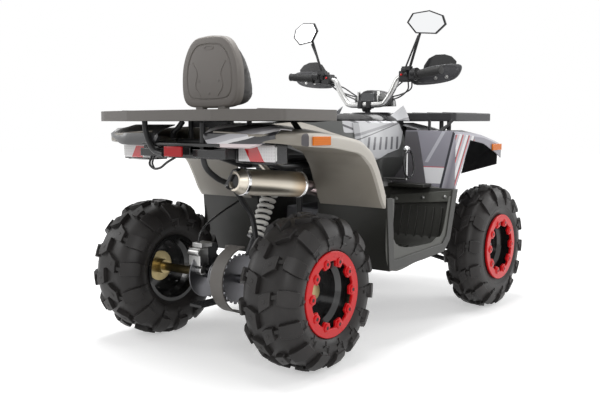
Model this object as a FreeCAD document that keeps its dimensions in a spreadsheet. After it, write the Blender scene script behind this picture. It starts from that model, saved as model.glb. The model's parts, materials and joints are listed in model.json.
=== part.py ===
import FreeCAD, Part
import math
import os
import re
import Sketcher
from FreeCAD import Placement, Rotation, Vector

# A quad bike with two racks and a passenger backrest, in millimetres.
# X points forward, Y to the rider's left, Z up. The origin is on the ground at the middle of the wheelbase.

# Driving dimensions: every size that can be set by itself is written once here and goes into the sheet.
SIZES = {
    # Wheels
    "wheelbase": 1300,
    "rear_tyre_od": 559,
    "rear_tyre_width": 254,
    "rear_track": 800,
    "front_tyre_od": 584,
    "front_tyre_width": 178,
    "front_track": 910,
    "lug_depth": 17,
    "rim_seat_radius": 127,
    "rim_flange_rise": 10,
    "rim_flange_run": 10,
    "rim_seat_run": 28,
    "rim_well_depth": 16,
    "rim_wall": 4,
    "rear_rim_width": 192,
    "front_rim_width": 148,
    "rear_disc_inset": 4,
    "front_disc_inset": 0,
    "disc_plate": 6,
    "disc_hole_radius": 13,
    "disc_hole_circle": 82,
    "hub_hole_radius": 30,
    "ring_outer_radius": 153,
    "ring_inner_radius": 119,
    "ring_plate": 12,
    "ring_tooth_tip_radius": 98,
    "ring_tooth_width": 54,
    "ring_tooth_tip_width": 30,
    "seat_gap": 0.3,
    # Rear axle
    "axle_radius": 17,
    "axle_end_margin": 12,
    "hub_radius": 29.5,
    "hub_length": 34,
    "hub_flange_radius": 62,
    "hub_flange_plate": 8,
    "sprocket_radius": 98,
    "sprocket_plate": 7,
    "sprocket_y": 62,
    "sprocket_teeth_depth": 8,
    "brake_disc_radius": 92,
    "brake_disc_plate": 5,
    "brake_disc_y": 118,
    # Swingarm and axle carrier
    "pivot_x": 330,
    "pivot_z": 330,
    "carrier_radius": 44,
    "carrier_bore_gap": 1.0,
    "carrier_length": 72,
    "carrier_y": 24,
    "arm_tube_radius": 21,
    "caliper_length": 74,
    "caliper_width": 44,
    "caliper_height": 58,
    "tongue_length": 150,
    "tongue_width": 62,
    "tongue_plate": 10,
    "tongue_drop": 96,
    "tow_hole_radius": 11,
    # Springs and dampers
    "rear_shock_lead": 75,
    "rear_shock_low_z": 352,
    "rear_shock_high_x": 401,
    "rear_shock_y": 42,
    "front_shock_low_y": 262,
    "front_shock_low_z": 268,
    "front_shock_high_y": 148,
    "front_shock_high_z": 637,
    "damper_radius": 17,
    "damper_rod_radius": 8,
    "spring_seat_radius": 33,
    "spring_seat_plate": 8,
    "spring_radius": 26,
    "spring_wire_radius": 6.5,
    "eye_radius": 15,
    "eye_half": 14,
    # Sprocket guard
    "guard_radius": 128,
    "guard_wall": 5,
    "guard_width": 62,
    # Frame
    "frame_tube_radius": 15,
    "brace_radius": 12.5,
    "cross_radius": 11,
    "frame_half": 100,
    "frame_bend_radius": 60,
    "lower_rail_z": 238,
    "upper_rail_z": 704,
    "rail_rear_x": 330,
    "rail_kink_x": 450,
    "rail_mid_x": 420,
    "rail_shoulder_x": 700,
    "rail_shoulder_z": 668,
    "rail_front_x": 734,
    "subframe_rear_x": 800,
    "subframe_z": 806,
    # Engine and skid plate
    "engine_length": 400,
    "engine_width": 196,
    "engine_height": 262,
    "engine_x": 20,
    "skid_rear_x": 300,
    "skid_front_x": 716,
    "skid_nose_rise": 62,
    "skid_nose_run": 90,
    "skid_width": 226,
    "skid_plate_thickness": 5,
    "skid_gap": 0.3,
    # Footwells
    "footwell_inner": 165,
    "body_half": 500,
    "footwell_rear_x": 295,
    "footwell_front_x": 287,
    "footwell_bottom_z": 303,
    "footwell_top_z": 588,
    "footwell_wall": 6,
    "footwell_frame": 38,
    "footwell_lip": 9,
    "outrigger_reach": 250,
    # Rear fenders
    "rear_fender_rear_x": 886,
    "rear_fender_front_x": 304,
    "rear_fender_low_z": 550,
    "rear_fender_high_z": 842,
    "rear_fender_round": 14,
    "rear_fender_sweep": 38,
    "sheet_thickness": 4,
    # Front fenders
    "front_fender_rear_x": 290,
    "front_fender_front_x": 755,
    "front_fender_low_z": 575,
    "front_fender_high_z": 842,
    "front_fender_outer": 480,
    # Console, seat, nose and side panels
    "console_rear_x": 560,
    "console_front_x": 395,
    "console_low_z": 566,
    "console_high_z": 884,
    "console_half": 250,
    "panel_rear_x": 112,
    "panel_front_x": 284,
    "panel_low_z": 709,
    "panel_high_z": 876,
    "seat_rear_x": 566,
    "seat_front_x": 232,
    "seat_half": 152,
    "seat_high_z": 916,
    "nose_rear_x": 396,
    "nose_front_x": 790,
    "nose_low_z": 640,
    "nose_high_z": 878,
    "nose_half": 226,
    # Lamps
    "head_lamp_y": 118,
    "head_lamp_radius": 62,
    "head_lamp_depth": 34,
    "tail_lamp_length": 42,
    "tail_lamp_inner": 226,
    "tail_lamp_outer": 392,
    "tail_lamp_low_z": 742,
    "tail_lamp_high_z": 801,
    "tail_lamp_x": 826,
    "tail_housing_wall": 6,
    "tail_beam_half": 214,
    "tail_beam_rear_x": 878,
    "tail_beam_front_x": 796,
    "tail_beam_low_z": 748,
    "reflector_x": 926,
    "reflector_half": 46,
    "reflector_low_z": 755,
    "reflector_high_z": 792,
    "reflector_depth": 9,
    "side_reflector_length": 96,
    "side_reflector_height": 30,
    "side_reflector_depth": 8,
    "rear_side_reflector_x": 712,
    "rear_side_reflector_z": 814,
    "front_side_reflector_x": 700,
    "front_side_reflector_z": 762,
    # Racks and backrest
    "rear_rack_rear_x": 950,
    "rear_rack_front_x": 570,
    "rear_rack_half": 475,
    "rear_rack_z": 882,
    "rack_thickness": 38,
    "front_rack_rear_x": 421,
    "front_rack_front_x": 841,
    "front_rack_half": 402,
    "front_rack_z": 885,
    "rack_corner_round": 26,
    "tie_hole_radius": 5.5,
    "tie_pitch_x": 180,
    "tie_pitch_y": 560,
    "tie_centre_x": 760,
    "bracket_box_x": 740,
    "bracket_box_length": 40,
    "bracket_box_half": 88,
    "bracket_box_height": 24,
    "bracket_radius": 10,
    "backrest_rear_x": 740,
    "backrest_shell_thickness": 30,
    "backrest_half": 153,
    "backrest_low_z": 930,
    "backrest_high_z": 1196,
    "backrest_recess_margin": 34,
    "cushion_top_thickness": 38,
    "cushion_low_thickness": 104,
    "cushion_margin": 8,
    # Exhaust
    "muffler_radius": 48,
    "muffler_rear_x": 800,
    "muffler_length": 312,
    "muffler_y": 181,
    "muffler_z": 669,
    "muffler_yaw": 10,
    "muffler_pitch": 5,
    "hanger_x": 598,
    "muffler_cap": 26,
    "outlet_radius": 27,
    "outlet_depth": 24,
    "pipe_radius": 17,
    "pipe_bend_radius": 26,
    # Front suspension and knuckles
    "kingpin_y": 352,
    "lower_ball_z": 214,
    "upper_ball_z": 372,
    "lower_arm_in_z": 246,
    "upper_arm_in_z": 412,
    "arm_half_base": 78,
    "arm_radius": 11,
    "ball_radius": 15,
    "ball_gap": 0.4,
    "knuckle_radius": 15,
    "stub_radius": 14,
    "stub_gap": 0.5,
    "steer_arm_back": 90,
    "steer_arm_in": 22,
    "rod_radius": 7,
    "rod_gap": 3.5,
    "front_hub_length": 60,
    "front_hub_radius": 26,
    # Steering
    "clamp_x": 296,
    "clamp_z": 962,
    "stem_foot_z": 327,
    "stem_radius": 13,
    "stem_gap": 9,
    "bearing_wall": 9,
    "bearing_gap": 0.5,
    "bearing_length": 44,
    "pitman_length": 90,
    "pitman_half": 20,
    "pitman_plate": 8,
    "bar_radius": 11,
    "bar_bend_radius": 40,
    "bar_flat_half": 92,
    "bar_rise_half": 186,
    "bar_rise": 122,
    "bar_end_half": 412,
    "bar_end_back": 46,
    "bar_end_rise": 142,
    "grip_radius": 17,
    "grip_length": 118,
    "guard_x": 350,
    "guard_inner": 212,
    "guard_outer": 482,
    "guard_low_z": 1046,
    "guard_high_z": 1183,
    "guard_plate": 5,
    "mirror_x": 262,
    "mirror_y": 340,
    "mirror_z": 1316,
    "mirror_width": 180,
    "mirror_height": 104,
    "mirror_depth": 24,
    "mirror_lip": 5,
    "mirror_glass": 3,
    "mirror_toe": 12,
    "mirror_stem_radius": 6,
    "pod_half": 104,
    "pod_length": 78,
    "pod_low_z": 964,
    "pod_high_z": 1018,
    "dial_half": 54,
    "dial_rear_x": 322,
    "dial_length": 62,
    "dial_height": 30,
    "lever_radius": 5,
    "perch_radius": 19,
    "perch_length": 32,
    # Bumper and gear lever
    "bumper_front_x": 950,
    "bumper_low_z": 330,
    "bumper_high_z": 700,
    "bumper_radius": 14,
    "bumper_bend_radius": 50,
    "lever_x": 178,
    "lever_y": 300,
    "lever_low_z": 628,
    "lever_high_z": 760,
    "knob_radius": 16,
    "overrun": 20,
}

doc = FreeCAD.newDocument("quad_bike")
sheet = doc.addObject("Spreadsheet::Sheet", "sizes")
for row, (alias, number) in enumerate(SIZES.items(), start=1):
    sheet.set("A%d" % row, alias)
    sheet.set("B%d" % row, str(number))
    sheet.setAlias("B%d" % row, alias)
doc.recompute()


class SheetValues:
    """Reads the sheet's cells by their alias."""

    def __getattr__(self, alias):
        return float(sheet.get(alias))


size = SheetValues()
X_AXIS = Vector(1, 0, 0)
Y_AXIS = Vector(0, 1, 0)
Z_AXIS = Vector(0, 0, 1)
SIDES = {"left": 1, "right": -1}
parts = []


def bound(text):
    """A sheet expression: each alias in the text gets the sheet's name."""
    return re.sub(r"[a-z_]+", lambda found: "sizes." + found.group(0), text)


def keep(obj, label):
    """Lists a finished sub-part under its own label."""
    obj.Label = label
    parts.append(obj)
    return obj


def feature(label, shape):
    """A sub-part whose shape is worked out in code from the sheet's values."""
    obj = doc.addObject("Part::Feature", label)
    obj.Shape = shape
    return keep(obj, label)


def plane_of(body, role):
    """The body's own origin plane with this role."""
    return next(item for item in body.Origin.OriginFeatures if item.Role == role)


def outline_sketch(body, name, role, corners):
    """A closed outline whose corners are pairs of sheet expressions."""
    sketch = body.newObject("Sketcher::SketchObject", name)
    sketch.AttachmentSupport = [(plane_of(body, role), "")]
    sketch.MapMode = "FlatFace"
    count = len(corners)
    spots = [tuple(evaluate(text) for text in corner) for corner in corners]
    for index in range(count):
        start = Vector(*spots[index], 0)
        end = Vector(*spots[(index + 1) % count], 0)
        sketch.addGeometry(Part.LineSegment(start, end), False)
    for index in range(count):
        sketch.addConstraint(Sketcher.Constraint("Coincident", index, 2, (index + 1) % count, 1))
    for index, corner in enumerate(corners):
        for kind, text, spot in zip(("DistanceX", "DistanceY"), corner, spots[index]):
            place = sketch.addConstraint(Sketcher.Constraint(kind, -1, 1, index, 1, spot))
            sketch.setExpression("Constraints[%d]" % place, bound(text))
    return sketch


def evaluate(text):
    """The value of an expression in the sheet's aliases, to draw a sketch where it will end."""
    return float(sheet.evalExpression(text))


def new_body(label, x="0", y="0", z="0"):
    """An empty body placed by three sheet expressions."""
    body = doc.addObject("PartDesign::Body", label)
    for axis, text in zip("xyz", (x, y, z)):
        body.setExpression("Placement.Base." + axis, bound(text))
    return body


def pad(body, sketch, length, both_ways=False, backwards=False):
    """Pads a sketch by a sheet expression."""
    step = body.newObject("PartDesign::Pad", sketch.Name + "_pad")
    step.Profile = sketch
    step.setExpression("Length", bound(length))
    step.Midplane = both_ways
    step.Reversed = backwards
    sketch.Visibility = False
    doc.recompute()
    return step


def pocket(body, sketch, length, both_ways=False, backwards=False):
    """Pockets a sketch by a sheet expression, and checks that it cuts."""
    before = body.Shape.Volume
    step = body.newObject("PartDesign::Pocket", sketch.Name + "_pocket")
    step.Profile = sketch
    step.setExpression("Length", bound(length))
    step.Midplane = both_ways
    step.Reversed = backwards
    doc.recompute()
    if body.Shape.Volume >= before:
        raise RuntimeError("pocket cuts nothing: " + sketch.Name)
    return step


def round_edges(body, base, direction, radius, chosen=None):
    """Fillets the body's edges that run along a direction."""
    names = []
    for number, edge in enumerate(base.Shape.Edges, start=1):
        if edge.Curve.TypeId != "Part::GeomLine":
            continue
        along = (edge.Vertexes[-1].Point - edge.Vertexes[0].Point).normalize()
        if abs(along.dot(direction)) > 0.999 and (chosen is None or chosen(edge.CenterOfMass)):
            names.append("Edge%d" % number)
    step = body.newObject("PartDesign::Fillet", base.Name + "_fillet")
    step.Base = (base, names)
    step.setExpression("Radius", bound(radius))
    doc.recompute()
    return step


# Shapes made in code


def solid_of(faces):
    """A solid from flat faces that close on each other."""
    shell = Part.makeShell(faces)
    shell.sewShape()
    solid = Part.makeSolid(Part.Shell(shell.Faces))
    if solid.Volume < 0:
        solid.reverse()
    return solid


def flat_face(*points):
    """One flat face with these corners."""
    return Part.Face(Part.makePolygon(list(points) + [points[0]]))


def faceted(rings):
    """A solid with triangle sides through rings of as many points each, closed by flat ends."""
    faces = [flat_face(*rings[0]), flat_face(*rings[-1])]
    for low, high in zip(rings, rings[1:]):
        count = len(low)
        for index in range(count):
            after = (index + 1) % count
            faces.append(flat_face(low[index], low[after], high[after]))
            faces.append(flat_face(low[index], high[after], high[index]))
    return solid_of(faces)


MOST_BEND_SHARE = 0.45


def tube(points, radius, bend_radius):
    """A round bar along straight runs joined by tangent arcs."""
    edges = []
    start = points[0]
    for before, corner, after in zip(points, points[1:], points[2:]):
        back = (before - corner).normalize()
        ahead = (after - corner).normalize()
        turn = back.getAngle(ahead)
        reach = bend_radius / math.tan(turn / 2)
        shortest = min((before - corner).Length, (after - corner).Length)
        reach = min(reach, shortest * MOST_BEND_SHARE)
        arc_radius = reach * math.tan(turn / 2)
        bisector = (back + ahead).normalize()
        centre = corner + bisector * (arc_radius / math.sin(turn / 2))
        arc_start = corner + back * reach
        arc_end = corner + ahead * reach
        middle = centre - bisector * arc_radius
        edges.append(Part.LineSegment(start, arc_start).toShape())
        edges.append(Part.Arc(arc_start, middle, arc_end).toShape())
        start = arc_end
    edges.append(Part.LineSegment(start, points[-1]).toShape())
    path = Part.Wire(edges)
    section = Part.Wire(Part.makeCircle(radius, points[0], points[1] - points[0]))
    return path.makePipeShell([section], True, False)


def rod(start, end, radius):
    """A straight round bar between two points."""
    return Part.makeCylinder(radius, (end - start).Length, start, end - start)


def block(x_range, y_range, z_range):
    """A box between two values along each axis."""
    low = Vector(x_range[0], y_range[0], z_range[0])
    return Part.makeBox(x_range[1] - x_range[0], y_range[1] - y_range[0], z_range[1] - z_range[0], low)


def mirrored(shape):
    """The same shape on the other side of the middle plane."""
    return shape.mirror(Vector(0, 0, 0), Y_AXIS)


def pair(shape):
    """A shape and its mirror image as solids of one sub-part."""
    return Part.makeCompound([shape, mirrored(shape)])


def prism(outline, y_start, y_end):
    """An outline of (x, z) corners carried along Y."""
    ring = [Vector(x, y_start, z) for x, z in outline]
    face = flat_face(*ring)
    return face.extrude(Vector(0, y_end - y_start, 0))


def between(low, high, share):
    """The value at a share of the way from low to high."""
    return low + (high - low) * share


def spots(shares, x_range, z_range):
    """Corners (x, z) from shares of a named length and height."""
    return [(between(*x_range, x), between(*z_range, z)) for x, z in shares]


def band(points, thickness):
    """A closed strip of even thickness on the left of an open line of (a, b) points."""
    offset = []
    for index, point in enumerate(points):
        before = points[max(index - 1, 0)]
        after = points[min(index + 1, len(points) - 1)]
        here = point
        first = unit_normal(before, here) if index else unit_normal(here, after)
        second = unit_normal(here, after) if index < len(points) - 1 else first
        along = 1 + first[0] * second[0] + first[1] * second[1]
        shift = [(first[axis] + second[axis]) / along * thickness for axis in (0, 1)]
        offset.append((here[0] + shift[0], here[1] + shift[1]))
    return list(points) + offset[::-1]


def unit_normal(start, end):
    """The unit normal on the left of a flat line."""
    run = (end[0] - start[0], end[1] - start[1])
    length = math.hypot(*run)
    return (-run[1] / length, run[0] / length)


# Wheels


def wheel_place(x, y, radius):
    """Where a wheel's own frame sits: its outer side faces away from the middle plane."""
    turn = 0 if y > 0 else 180
    return Placement(Vector(x, y, radius), Rotation(Z_AXIS, turn))


def on_wheel(angle, y, radius):
    """A point by its angle round the wheel axis, in turns."""
    return Vector(radius * math.cos(2 * math.pi * angle), y, radius * math.sin(2 * math.pi * angle))


LUG_PITCHES = 14
# Tread lines from the crown to the side, as shares: half width, height over the carcass base, lug height,
# how far the lugs stand out to the side, and turn in pitches.
TREAD_LINE_SHARES = [(0.05, 1.0, 1.0, 0.0, 0.00), (0.50, 0.975, 0.96, 0.02, 0.26), (0.79, 0.80, 0.66, 0.08, 0.20),
                     (0.92, 0.54, 0.30, 0.08, 0.20)]
LUG_WIDTH_SHARE = 0.56
# Side lines from the lugs' ends to the bead: half width and height over the carcass base, as shares.
SIDE_LINE_SHARES = [(1.0, 0.42), (0.84, 0.22), (0.12, 0.10), (0.0, 0.0)]


def tyre_shape(outer_radius, width, rim_width):
    """A tyre whose tread is a grid of low and high cells: two staggered rows of bent lugs."""
    count = 2 * LUG_PITCHES
    flat = 1 / math.cos(math.pi / count)
    bore = (size.rim_seat_radius + size.seat_gap) * flat
    bead = (size.rim_seat_radius + size.rim_flange_rise + size.seat_gap) * flat
    bead_half = rim_width / 2 - size.rim_flange_run - size.seat_gap
    carcass = outer_radius - size.lug_depth
    half = width / 2

    def ring(radius, y, side, turn, wide_even):
        """Points round the wheel, two for each lug: where it starts and where it ends."""
        points = []
        for index in range(count):
            starts_lug = (index % 2 == 0) == wide_even
            shift = 0 if starts_lug else 2 * LUG_WIDTH_SHARE - 1
            points.append(on_wheel((index + shift + 2 * turn) / count, side * y, radius))
        return points

    lines = []
    for side, even in ((1, True), (-1, False)):
        rows = []
        for y_share, r_share, lug_share, out_share, turn in TREAD_LINE_SHARES:
            low = between(bead, carcass, r_share)
            high = low + (outer_radius - carcass) * lug_share
            rows.append((ring(low, half * y_share, side, turn, even),
                         ring(high, half * (y_share + out_share), side, turn, even)))
        for y_share, r_share in SIDE_LINE_SHARES:
            y = between(bead_half, half * TREAD_LINE_SHARES[-1][0], y_share)
            row = ring(between(bead, carcass, r_share), y, side, 0, even)
            rows.append((row, row))
        row = ring(bore, bead_half, side, 0, even)
        rows.append((row, row))
        lines.append((rows, even))
    faces = []

    def quad(a, b, c, d):
        faces.append(flat_face(a, b, c))
        faces.append(flat_face(a, c, d))

    for rows, even in lines:
        for place, ((low_a, high_a), (low_b, high_b)) in enumerate(zip(rows, rows[1:])):
            tread = place < len(TREAD_LINE_SHARES) - 1
            for index in range(count):
                after = (index + 1) % count
                raised = tread and (index % 2 == 0) == even
                first, second = (high_a, high_b) if raised else (low_a, low_b)
                quad(first[index], first[after], second[after], second[index])
                if tread:
                    quad(low_a[index], low_b[index], high_b[index], high_a[index])
                if raised and place == 0:
                    quad(low_a[index], low_a[after], high_a[after], high_a[index])
                if raised and place == len(TREAD_LINE_SHARES) - 2:
                    quad(low_b[index], low_b[after], high_b[after], high_b[index])
    for place in (0, -1):
        left = lines[0][0][place][0]
        right = lines[1][0][place][0]
        for index in range(count):
            after = (index + 1) % count
            quad(left[index], left[after], right[after], right[index])
    return solid_of(faces)


def make_tyre(label, x, y, outer_radius, width, rim_width):
    tyre = feature(label, tyre_shape(outer_radius, width, rim_width))
    tyre.Placement = wheel_place(x, y, outer_radius)


DISC_HOLES = 8
RING_TEETH = 10


def rim_shape(rim_width, disc_inset, hub_hole_radius):
    """A turned rim with flanges, bead seats, a drop centre and a wheel disc."""
    half = rim_width / 2
    seat = size.rim_seat_radius
    flange = seat + size.rim_flange_rise
    well = seat - size.rim_well_depth
    run = size.rim_flange_run
    shelf = run + size.rim_seat_run
    slope = shelf + size.rim_well_depth
    wall = size.rim_wall
    outside = [(-half, flange), (-half + wall, flange), (-half + run, seat), (-half + shelf, seat),
               (-half + slope, well)]
    outside += [(-y, r) for y, r in outside[::-1]]
    inside = [(half, seat - wall), (half - shelf - wall, seat - wall), (half - slope - wall, well - wall)]
    disc_out = disc_inset + size.disc_plate / 2
    disc_in = disc_inset - size.disc_plate / 2
    disc = [(disc_out, well - wall), (disc_out, hub_hole_radius), (disc_in, hub_hole_radius),
            (disc_in, well - wall)]
    section = outside + inside + disc + [(-y, r) for y, r in inside[::-1]]
    face = flat_face(*[Vector(r, y, 0) for y, r in section])
    rim = face.revolve(Vector(0, 0, 0), Y_AXIS, 360)
    holes = []
    for index in range(DISC_HOLES):
        centre = on_wheel(index / DISC_HOLES, disc_in - size.overrun, size.disc_hole_circle)
        depth = size.disc_plate + 2 * size.overrun
        holes.append(Part.makeCylinder(size.disc_hole_radius, depth, centre, Y_AXIS))
    return rim.cut(holes)


def ring_shape(rim_width):
    """The bolt-on outer ring with its teeth turned inwards."""
    inner_y = rim_width / 2 + size.seat_gap
    outer = Part.makeCylinder(size.ring_outer_radius, size.ring_plate, Vector(0, inner_y, 0), Y_AXIS)
    bore = Part.makeCylinder(size.ring_inner_radius, size.ring_plate, Vector(0, inner_y, 0), Y_AXIS)
    teeth = []
    tooth_root = (size.ring_outer_radius + size.ring_inner_radius) / 2
    for index in range(RING_TEETH):
        corners = [Vector(tooth_root, inner_y, -size.ring_tooth_width / 2),
                   Vector(size.ring_tooth_tip_radius, inner_y, -size.ring_tooth_tip_width / 2),
                   Vector(size.ring_tooth_tip_radius, inner_y, size.ring_tooth_tip_width / 2),
                   Vector(tooth_root, inner_y, size.ring_tooth_width / 2)]
        tooth = flat_face(*corners).extrude(Vector(0, size.ring_plate, 0))
        tooth.rotate(Vector(0, 0, 0), Y_AXIS, 360 * index / RING_TEETH)
        teeth.append(tooth)
    return outer.cut(bore).fuse(teeth).removeSplitter()


rear_x = -size.wheelbase / 2
front_x = size.wheelbase / 2
rear_radius = size.rear_tyre_od / 2
front_radius = size.front_tyre_od / 2
rear_y = size.rear_track / 2
front_y = size.front_track / 2

rear_rims = []
rear_rings = []
for side_name, side in SIDES.items():
    make_tyre("rear_tyre_" + side_name, rear_x, side * rear_y, rear_radius, size.rear_tyre_width,
              size.rear_rim_width)
    rim = rim_shape(size.rear_rim_width, size.rear_disc_inset, size.hub_hole_radius)
    rim.Placement = wheel_place(rear_x, side * rear_y, rear_radius)
    rear_rims.append(rim)
    ring = ring_shape(size.rear_rim_width)
    ring.Placement = wheel_place(rear_x, side * rear_y, rear_radius)
    rear_rings.append(ring)
    make_tyre("front_tyre_" + side_name, front_x, side * front_y, front_radius, size.front_tyre_width,
              size.front_rim_width)
    front_rim = rim_shape(size.front_rim_width, size.front_disc_inset, size.stub_radius + size.stub_gap)
    hub_start = Vector(0, size.front_disc_inset - size.front_hub_length / 2, 0)
    hub = Part.makeCylinder(size.front_hub_radius, size.front_hub_length, hub_start, Y_AXIS)
    bore_start = hub_start - Y_AXIS * size.overrun
    bore_length = size.front_hub_length + 2 * size.overrun
    stub_bore = Part.makeCylinder(size.stub_radius + size.stub_gap, bore_length, bore_start, Y_AXIS)
    front_rim = front_rim.fuse(hub).cut(stub_bore)
    rim_part = feature("front_rim_" + side_name, front_rim)
    rim_part.Placement = wheel_place(front_x, side * front_y, front_radius)
    ring_part = feature("front_ring_" + side_name, ring_shape(size.front_rim_width))
    ring_part.Placement = wheel_place(front_x, side * front_y, front_radius)
feature("rear_rims", Part.makeCompound(rear_rims))
feature("rear_rings", Part.makeCompound(rear_rings))


# Rear axle with hubs, sprocket and brake disc

SPROCKET_TEETH = 24
# Corners of a tooth: place round the sprocket in pitches, and radius over the root.
SPROCKET_TOOTH_SHARES = [(-0.36, -0.3), (-0.16, 1.0), (0.16, 1.0), (0.36, -0.3)]


def rear_axle_shape():
    centre = Vector(rear_x, 0, rear_radius)
    shaft_half = rear_y + size.rear_disc_inset + size.hub_length - size.axle_end_margin
    shaft = Part.makeCylinder(size.axle_radius, 2 * shaft_half, centre - Y_AXIS * shaft_half, Y_AXIS)
    pieces = []
    disc_in = rear_y + size.rear_disc_inset - size.disc_plate / 2
    for side in SIDES.values():
        outwards = Y_AXIS * side
        flange_start = centre + outwards * (disc_in - size.seat_gap - size.hub_flange_plate)
        pieces.append(Part.makeCylinder(size.hub_flange_radius, size.hub_flange_plate, flange_start, outwards))
        hub_start = flange_start - outwards * size.hub_length
        pieces.append(Part.makeCylinder(size.hub_radius, size.hub_length * 2, hub_start, outwards))
    tooth_root = size.sprocket_radius - size.sprocket_teeth_depth
    plate_start = centre - Y_AXIS * (size.sprocket_y + size.sprocket_plate / 2)
    sprocket = Part.makeCylinder(tooth_root, size.sprocket_plate, plate_start, Y_AXIS)
    teeth = []
    for index in range(SPROCKET_TEETH):
        corners = []
        for turn_share, rise_share in SPROCKET_TOOTH_SHARES:
            radius = between(tooth_root, size.sprocket_radius, rise_share)
            corners.append(plate_start + on_wheel((index + turn_share) / SPROCKET_TEETH, 0, radius))
        teeth.append(flat_face(*corners).extrude(Y_AXIS * size.sprocket_plate))
    disc_start = centre + Y_AXIS * (size.brake_disc_y - size.brake_disc_plate / 2)
    disc = Part.makeCylinder(size.brake_disc_radius, size.brake_disc_plate, disc_start, Y_AXIS)
    return shaft.fuse(pieces + [sprocket, disc] + teeth).removeSplitter()


feature("rear_axle", rear_axle_shape())


# Swingarm with the axle carrier, caliper and tow tongue

def swingarm_shape():
    centre = Vector(rear_x, size.carrier_y, rear_radius)
    carrier_start = centre - Y_AXIS * (size.carrier_length / 2)
    carrier = Part.makeCylinder(size.carrier_radius, size.carrier_length, carrier_start, Y_AXIS)
    pivot = Vector(-size.pivot_x, 0, size.pivot_z)
    pivot_half = size.frame_half - size.frame_tube_radius - size.seat_gap
    pivot_tube = Part.makeCylinder(size.arm_tube_radius, 2 * pivot_half, pivot - Y_AXIS * pivot_half, Y_AXIS)
    arms = []
    for side in SIDES.values():
        start = pivot + Y_AXIS * side * (pivot_half - size.arm_tube_radius)
        end = centre + Y_AXIS * side * (size.carrier_length / 2 - size.arm_tube_radius)
        arms.append(rod(start, end, size.arm_tube_radius))
    low_eye = shock_ends()[0]
    ear = block((low_eye.x - size.eye_radius, low_eye.x + size.eye_radius), (low_eye.y - size.eye_half, 0),
                (rear_radius + size.seat_gap, low_eye.z - size.eye_radius - size.seat_gap))
    tongue_root = centre - Z_AXIS * size.tongue_drop
    tongue = block((tongue_root.x - size.tongue_length, tongue_root.x + size.arm_tube_radius),
                   (-size.tongue_width / 2 + size.carrier_y, size.tongue_width / 2 + size.carrier_y),
                   (tongue_root.z, tongue_root.z + size.tongue_plate))
    hanger = block((rear_x - size.arm_tube_radius, rear_x + size.arm_tube_radius),
                   (size.carrier_y - size.carrier_length / 4, size.carrier_y + size.carrier_length / 4),
                   (tongue_root.z, rear_radius - size.axle_radius))
    hole_at = Vector(tongue_root.x - size.tongue_length + size.tongue_width / 2, size.carrier_y,
                     tongue_root.z - size.overrun)
    hole = Part.makeCylinder(size.tow_hole_radius, size.tongue_plate + 2 * size.overrun, hole_at)
    caliper_low = Vector(rear_x - size.caliper_length / 2, size.brake_disc_y - size.caliper_width / 2,
                         rear_radius + size.brake_disc_radius - size.caliper_height / 2)
    caliper = Part.makeBox(size.caliper_length, size.caliper_width, size.caliper_height, caliper_low)
    slot_low = Vector(caliper_low.x - size.overrun, size.brake_disc_y - size.brake_disc_plate, caliper_low.z
                      - size.overrun)
    slot = Part.makeBox(size.caliper_length + 2 * size.overrun, 2 * size.brake_disc_plate,
                        size.caliper_height + size.overrun / 2, slot_low)
    bracket_low = Vector(caliper_low.x, size.carrier_y, rear_radius + size.carrier_radius / 2)
    bracket = Part.makeBox(size.caliper_length, caliper_low.y + size.caliper_width / 4 - size.carrier_y,
                           size.rim_wall * 2, bracket_low)
    arm_post = Part.makeBox(size.caliper_length / 2, size.caliper_width / 4,
                            caliper_low.z + size.caliper_height - bracket_low.z,
                            Vector(caliper_low.x, caliper_low.y, bracket_low.z))
    bore_radius = size.axle_radius + size.carrier_bore_gap
    bore = Part.makeCylinder(bore_radius, size.carrier_length + 2 * size.overrun,
                             carrier_start - Y_AXIS * size.overrun, Y_AXIS)
    whole = carrier.fuse([pivot_tube, ear, tongue, hanger, caliper, bracket, arm_post] + arms)
    return whole.cut([hole, slot, bore]).removeSplitter()


def shock_ends():
    """The rear damper's eyes, low and high."""
    low = Vector(rear_x + size.rear_shock_lead, -size.rear_shock_y, size.rear_shock_low_z)
    eye_z = size.upper_rail_z - size.cross_radius - size.seat_gap - size.eye_radius
    high = Vector(-size.rear_shock_high_x, -size.rear_shock_y, eye_z)
    return low, high


feature("swingarm", swingarm_shape())


# Dampers and coil springs

SPRING_SEAT_SHARES = (0.24, 0.80)
COIL_STEPS = 10
REAR_COILS = 9
FRONT_COILS = 8


def damper_shape(low, high, pin):
    """A damper: eyes at both ends, a body, a rod and two spring seats."""
    along = (high - low).normalize()
    length = (high - low).Length
    seats = [low + along * (length * share) for share in SPRING_SEAT_SHARES]
    body = rod(seats[0] - along * size.spring_seat_plate, high - along * size.eye_radius / 2,
               size.damper_rod_radius)
    barrel = rod(low + along * size.eye_radius / 2, between(seats[0], seats[1], 0.5), size.damper_radius)
    pieces = [barrel]
    pieces.append(Part.makeCylinder(size.spring_seat_radius, size.spring_seat_plate,
                                    seats[0] - along * size.spring_seat_plate, along))
    pieces.append(Part.makeCylinder(size.spring_seat_radius, size.spring_seat_plate, seats[1], along))
    for end in (low, high):
        pieces.append(Part.makeCylinder(size.eye_radius, 2 * size.eye_half, end - pin * size.eye_half, pin))
    return body.fuse(pieces)


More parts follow.
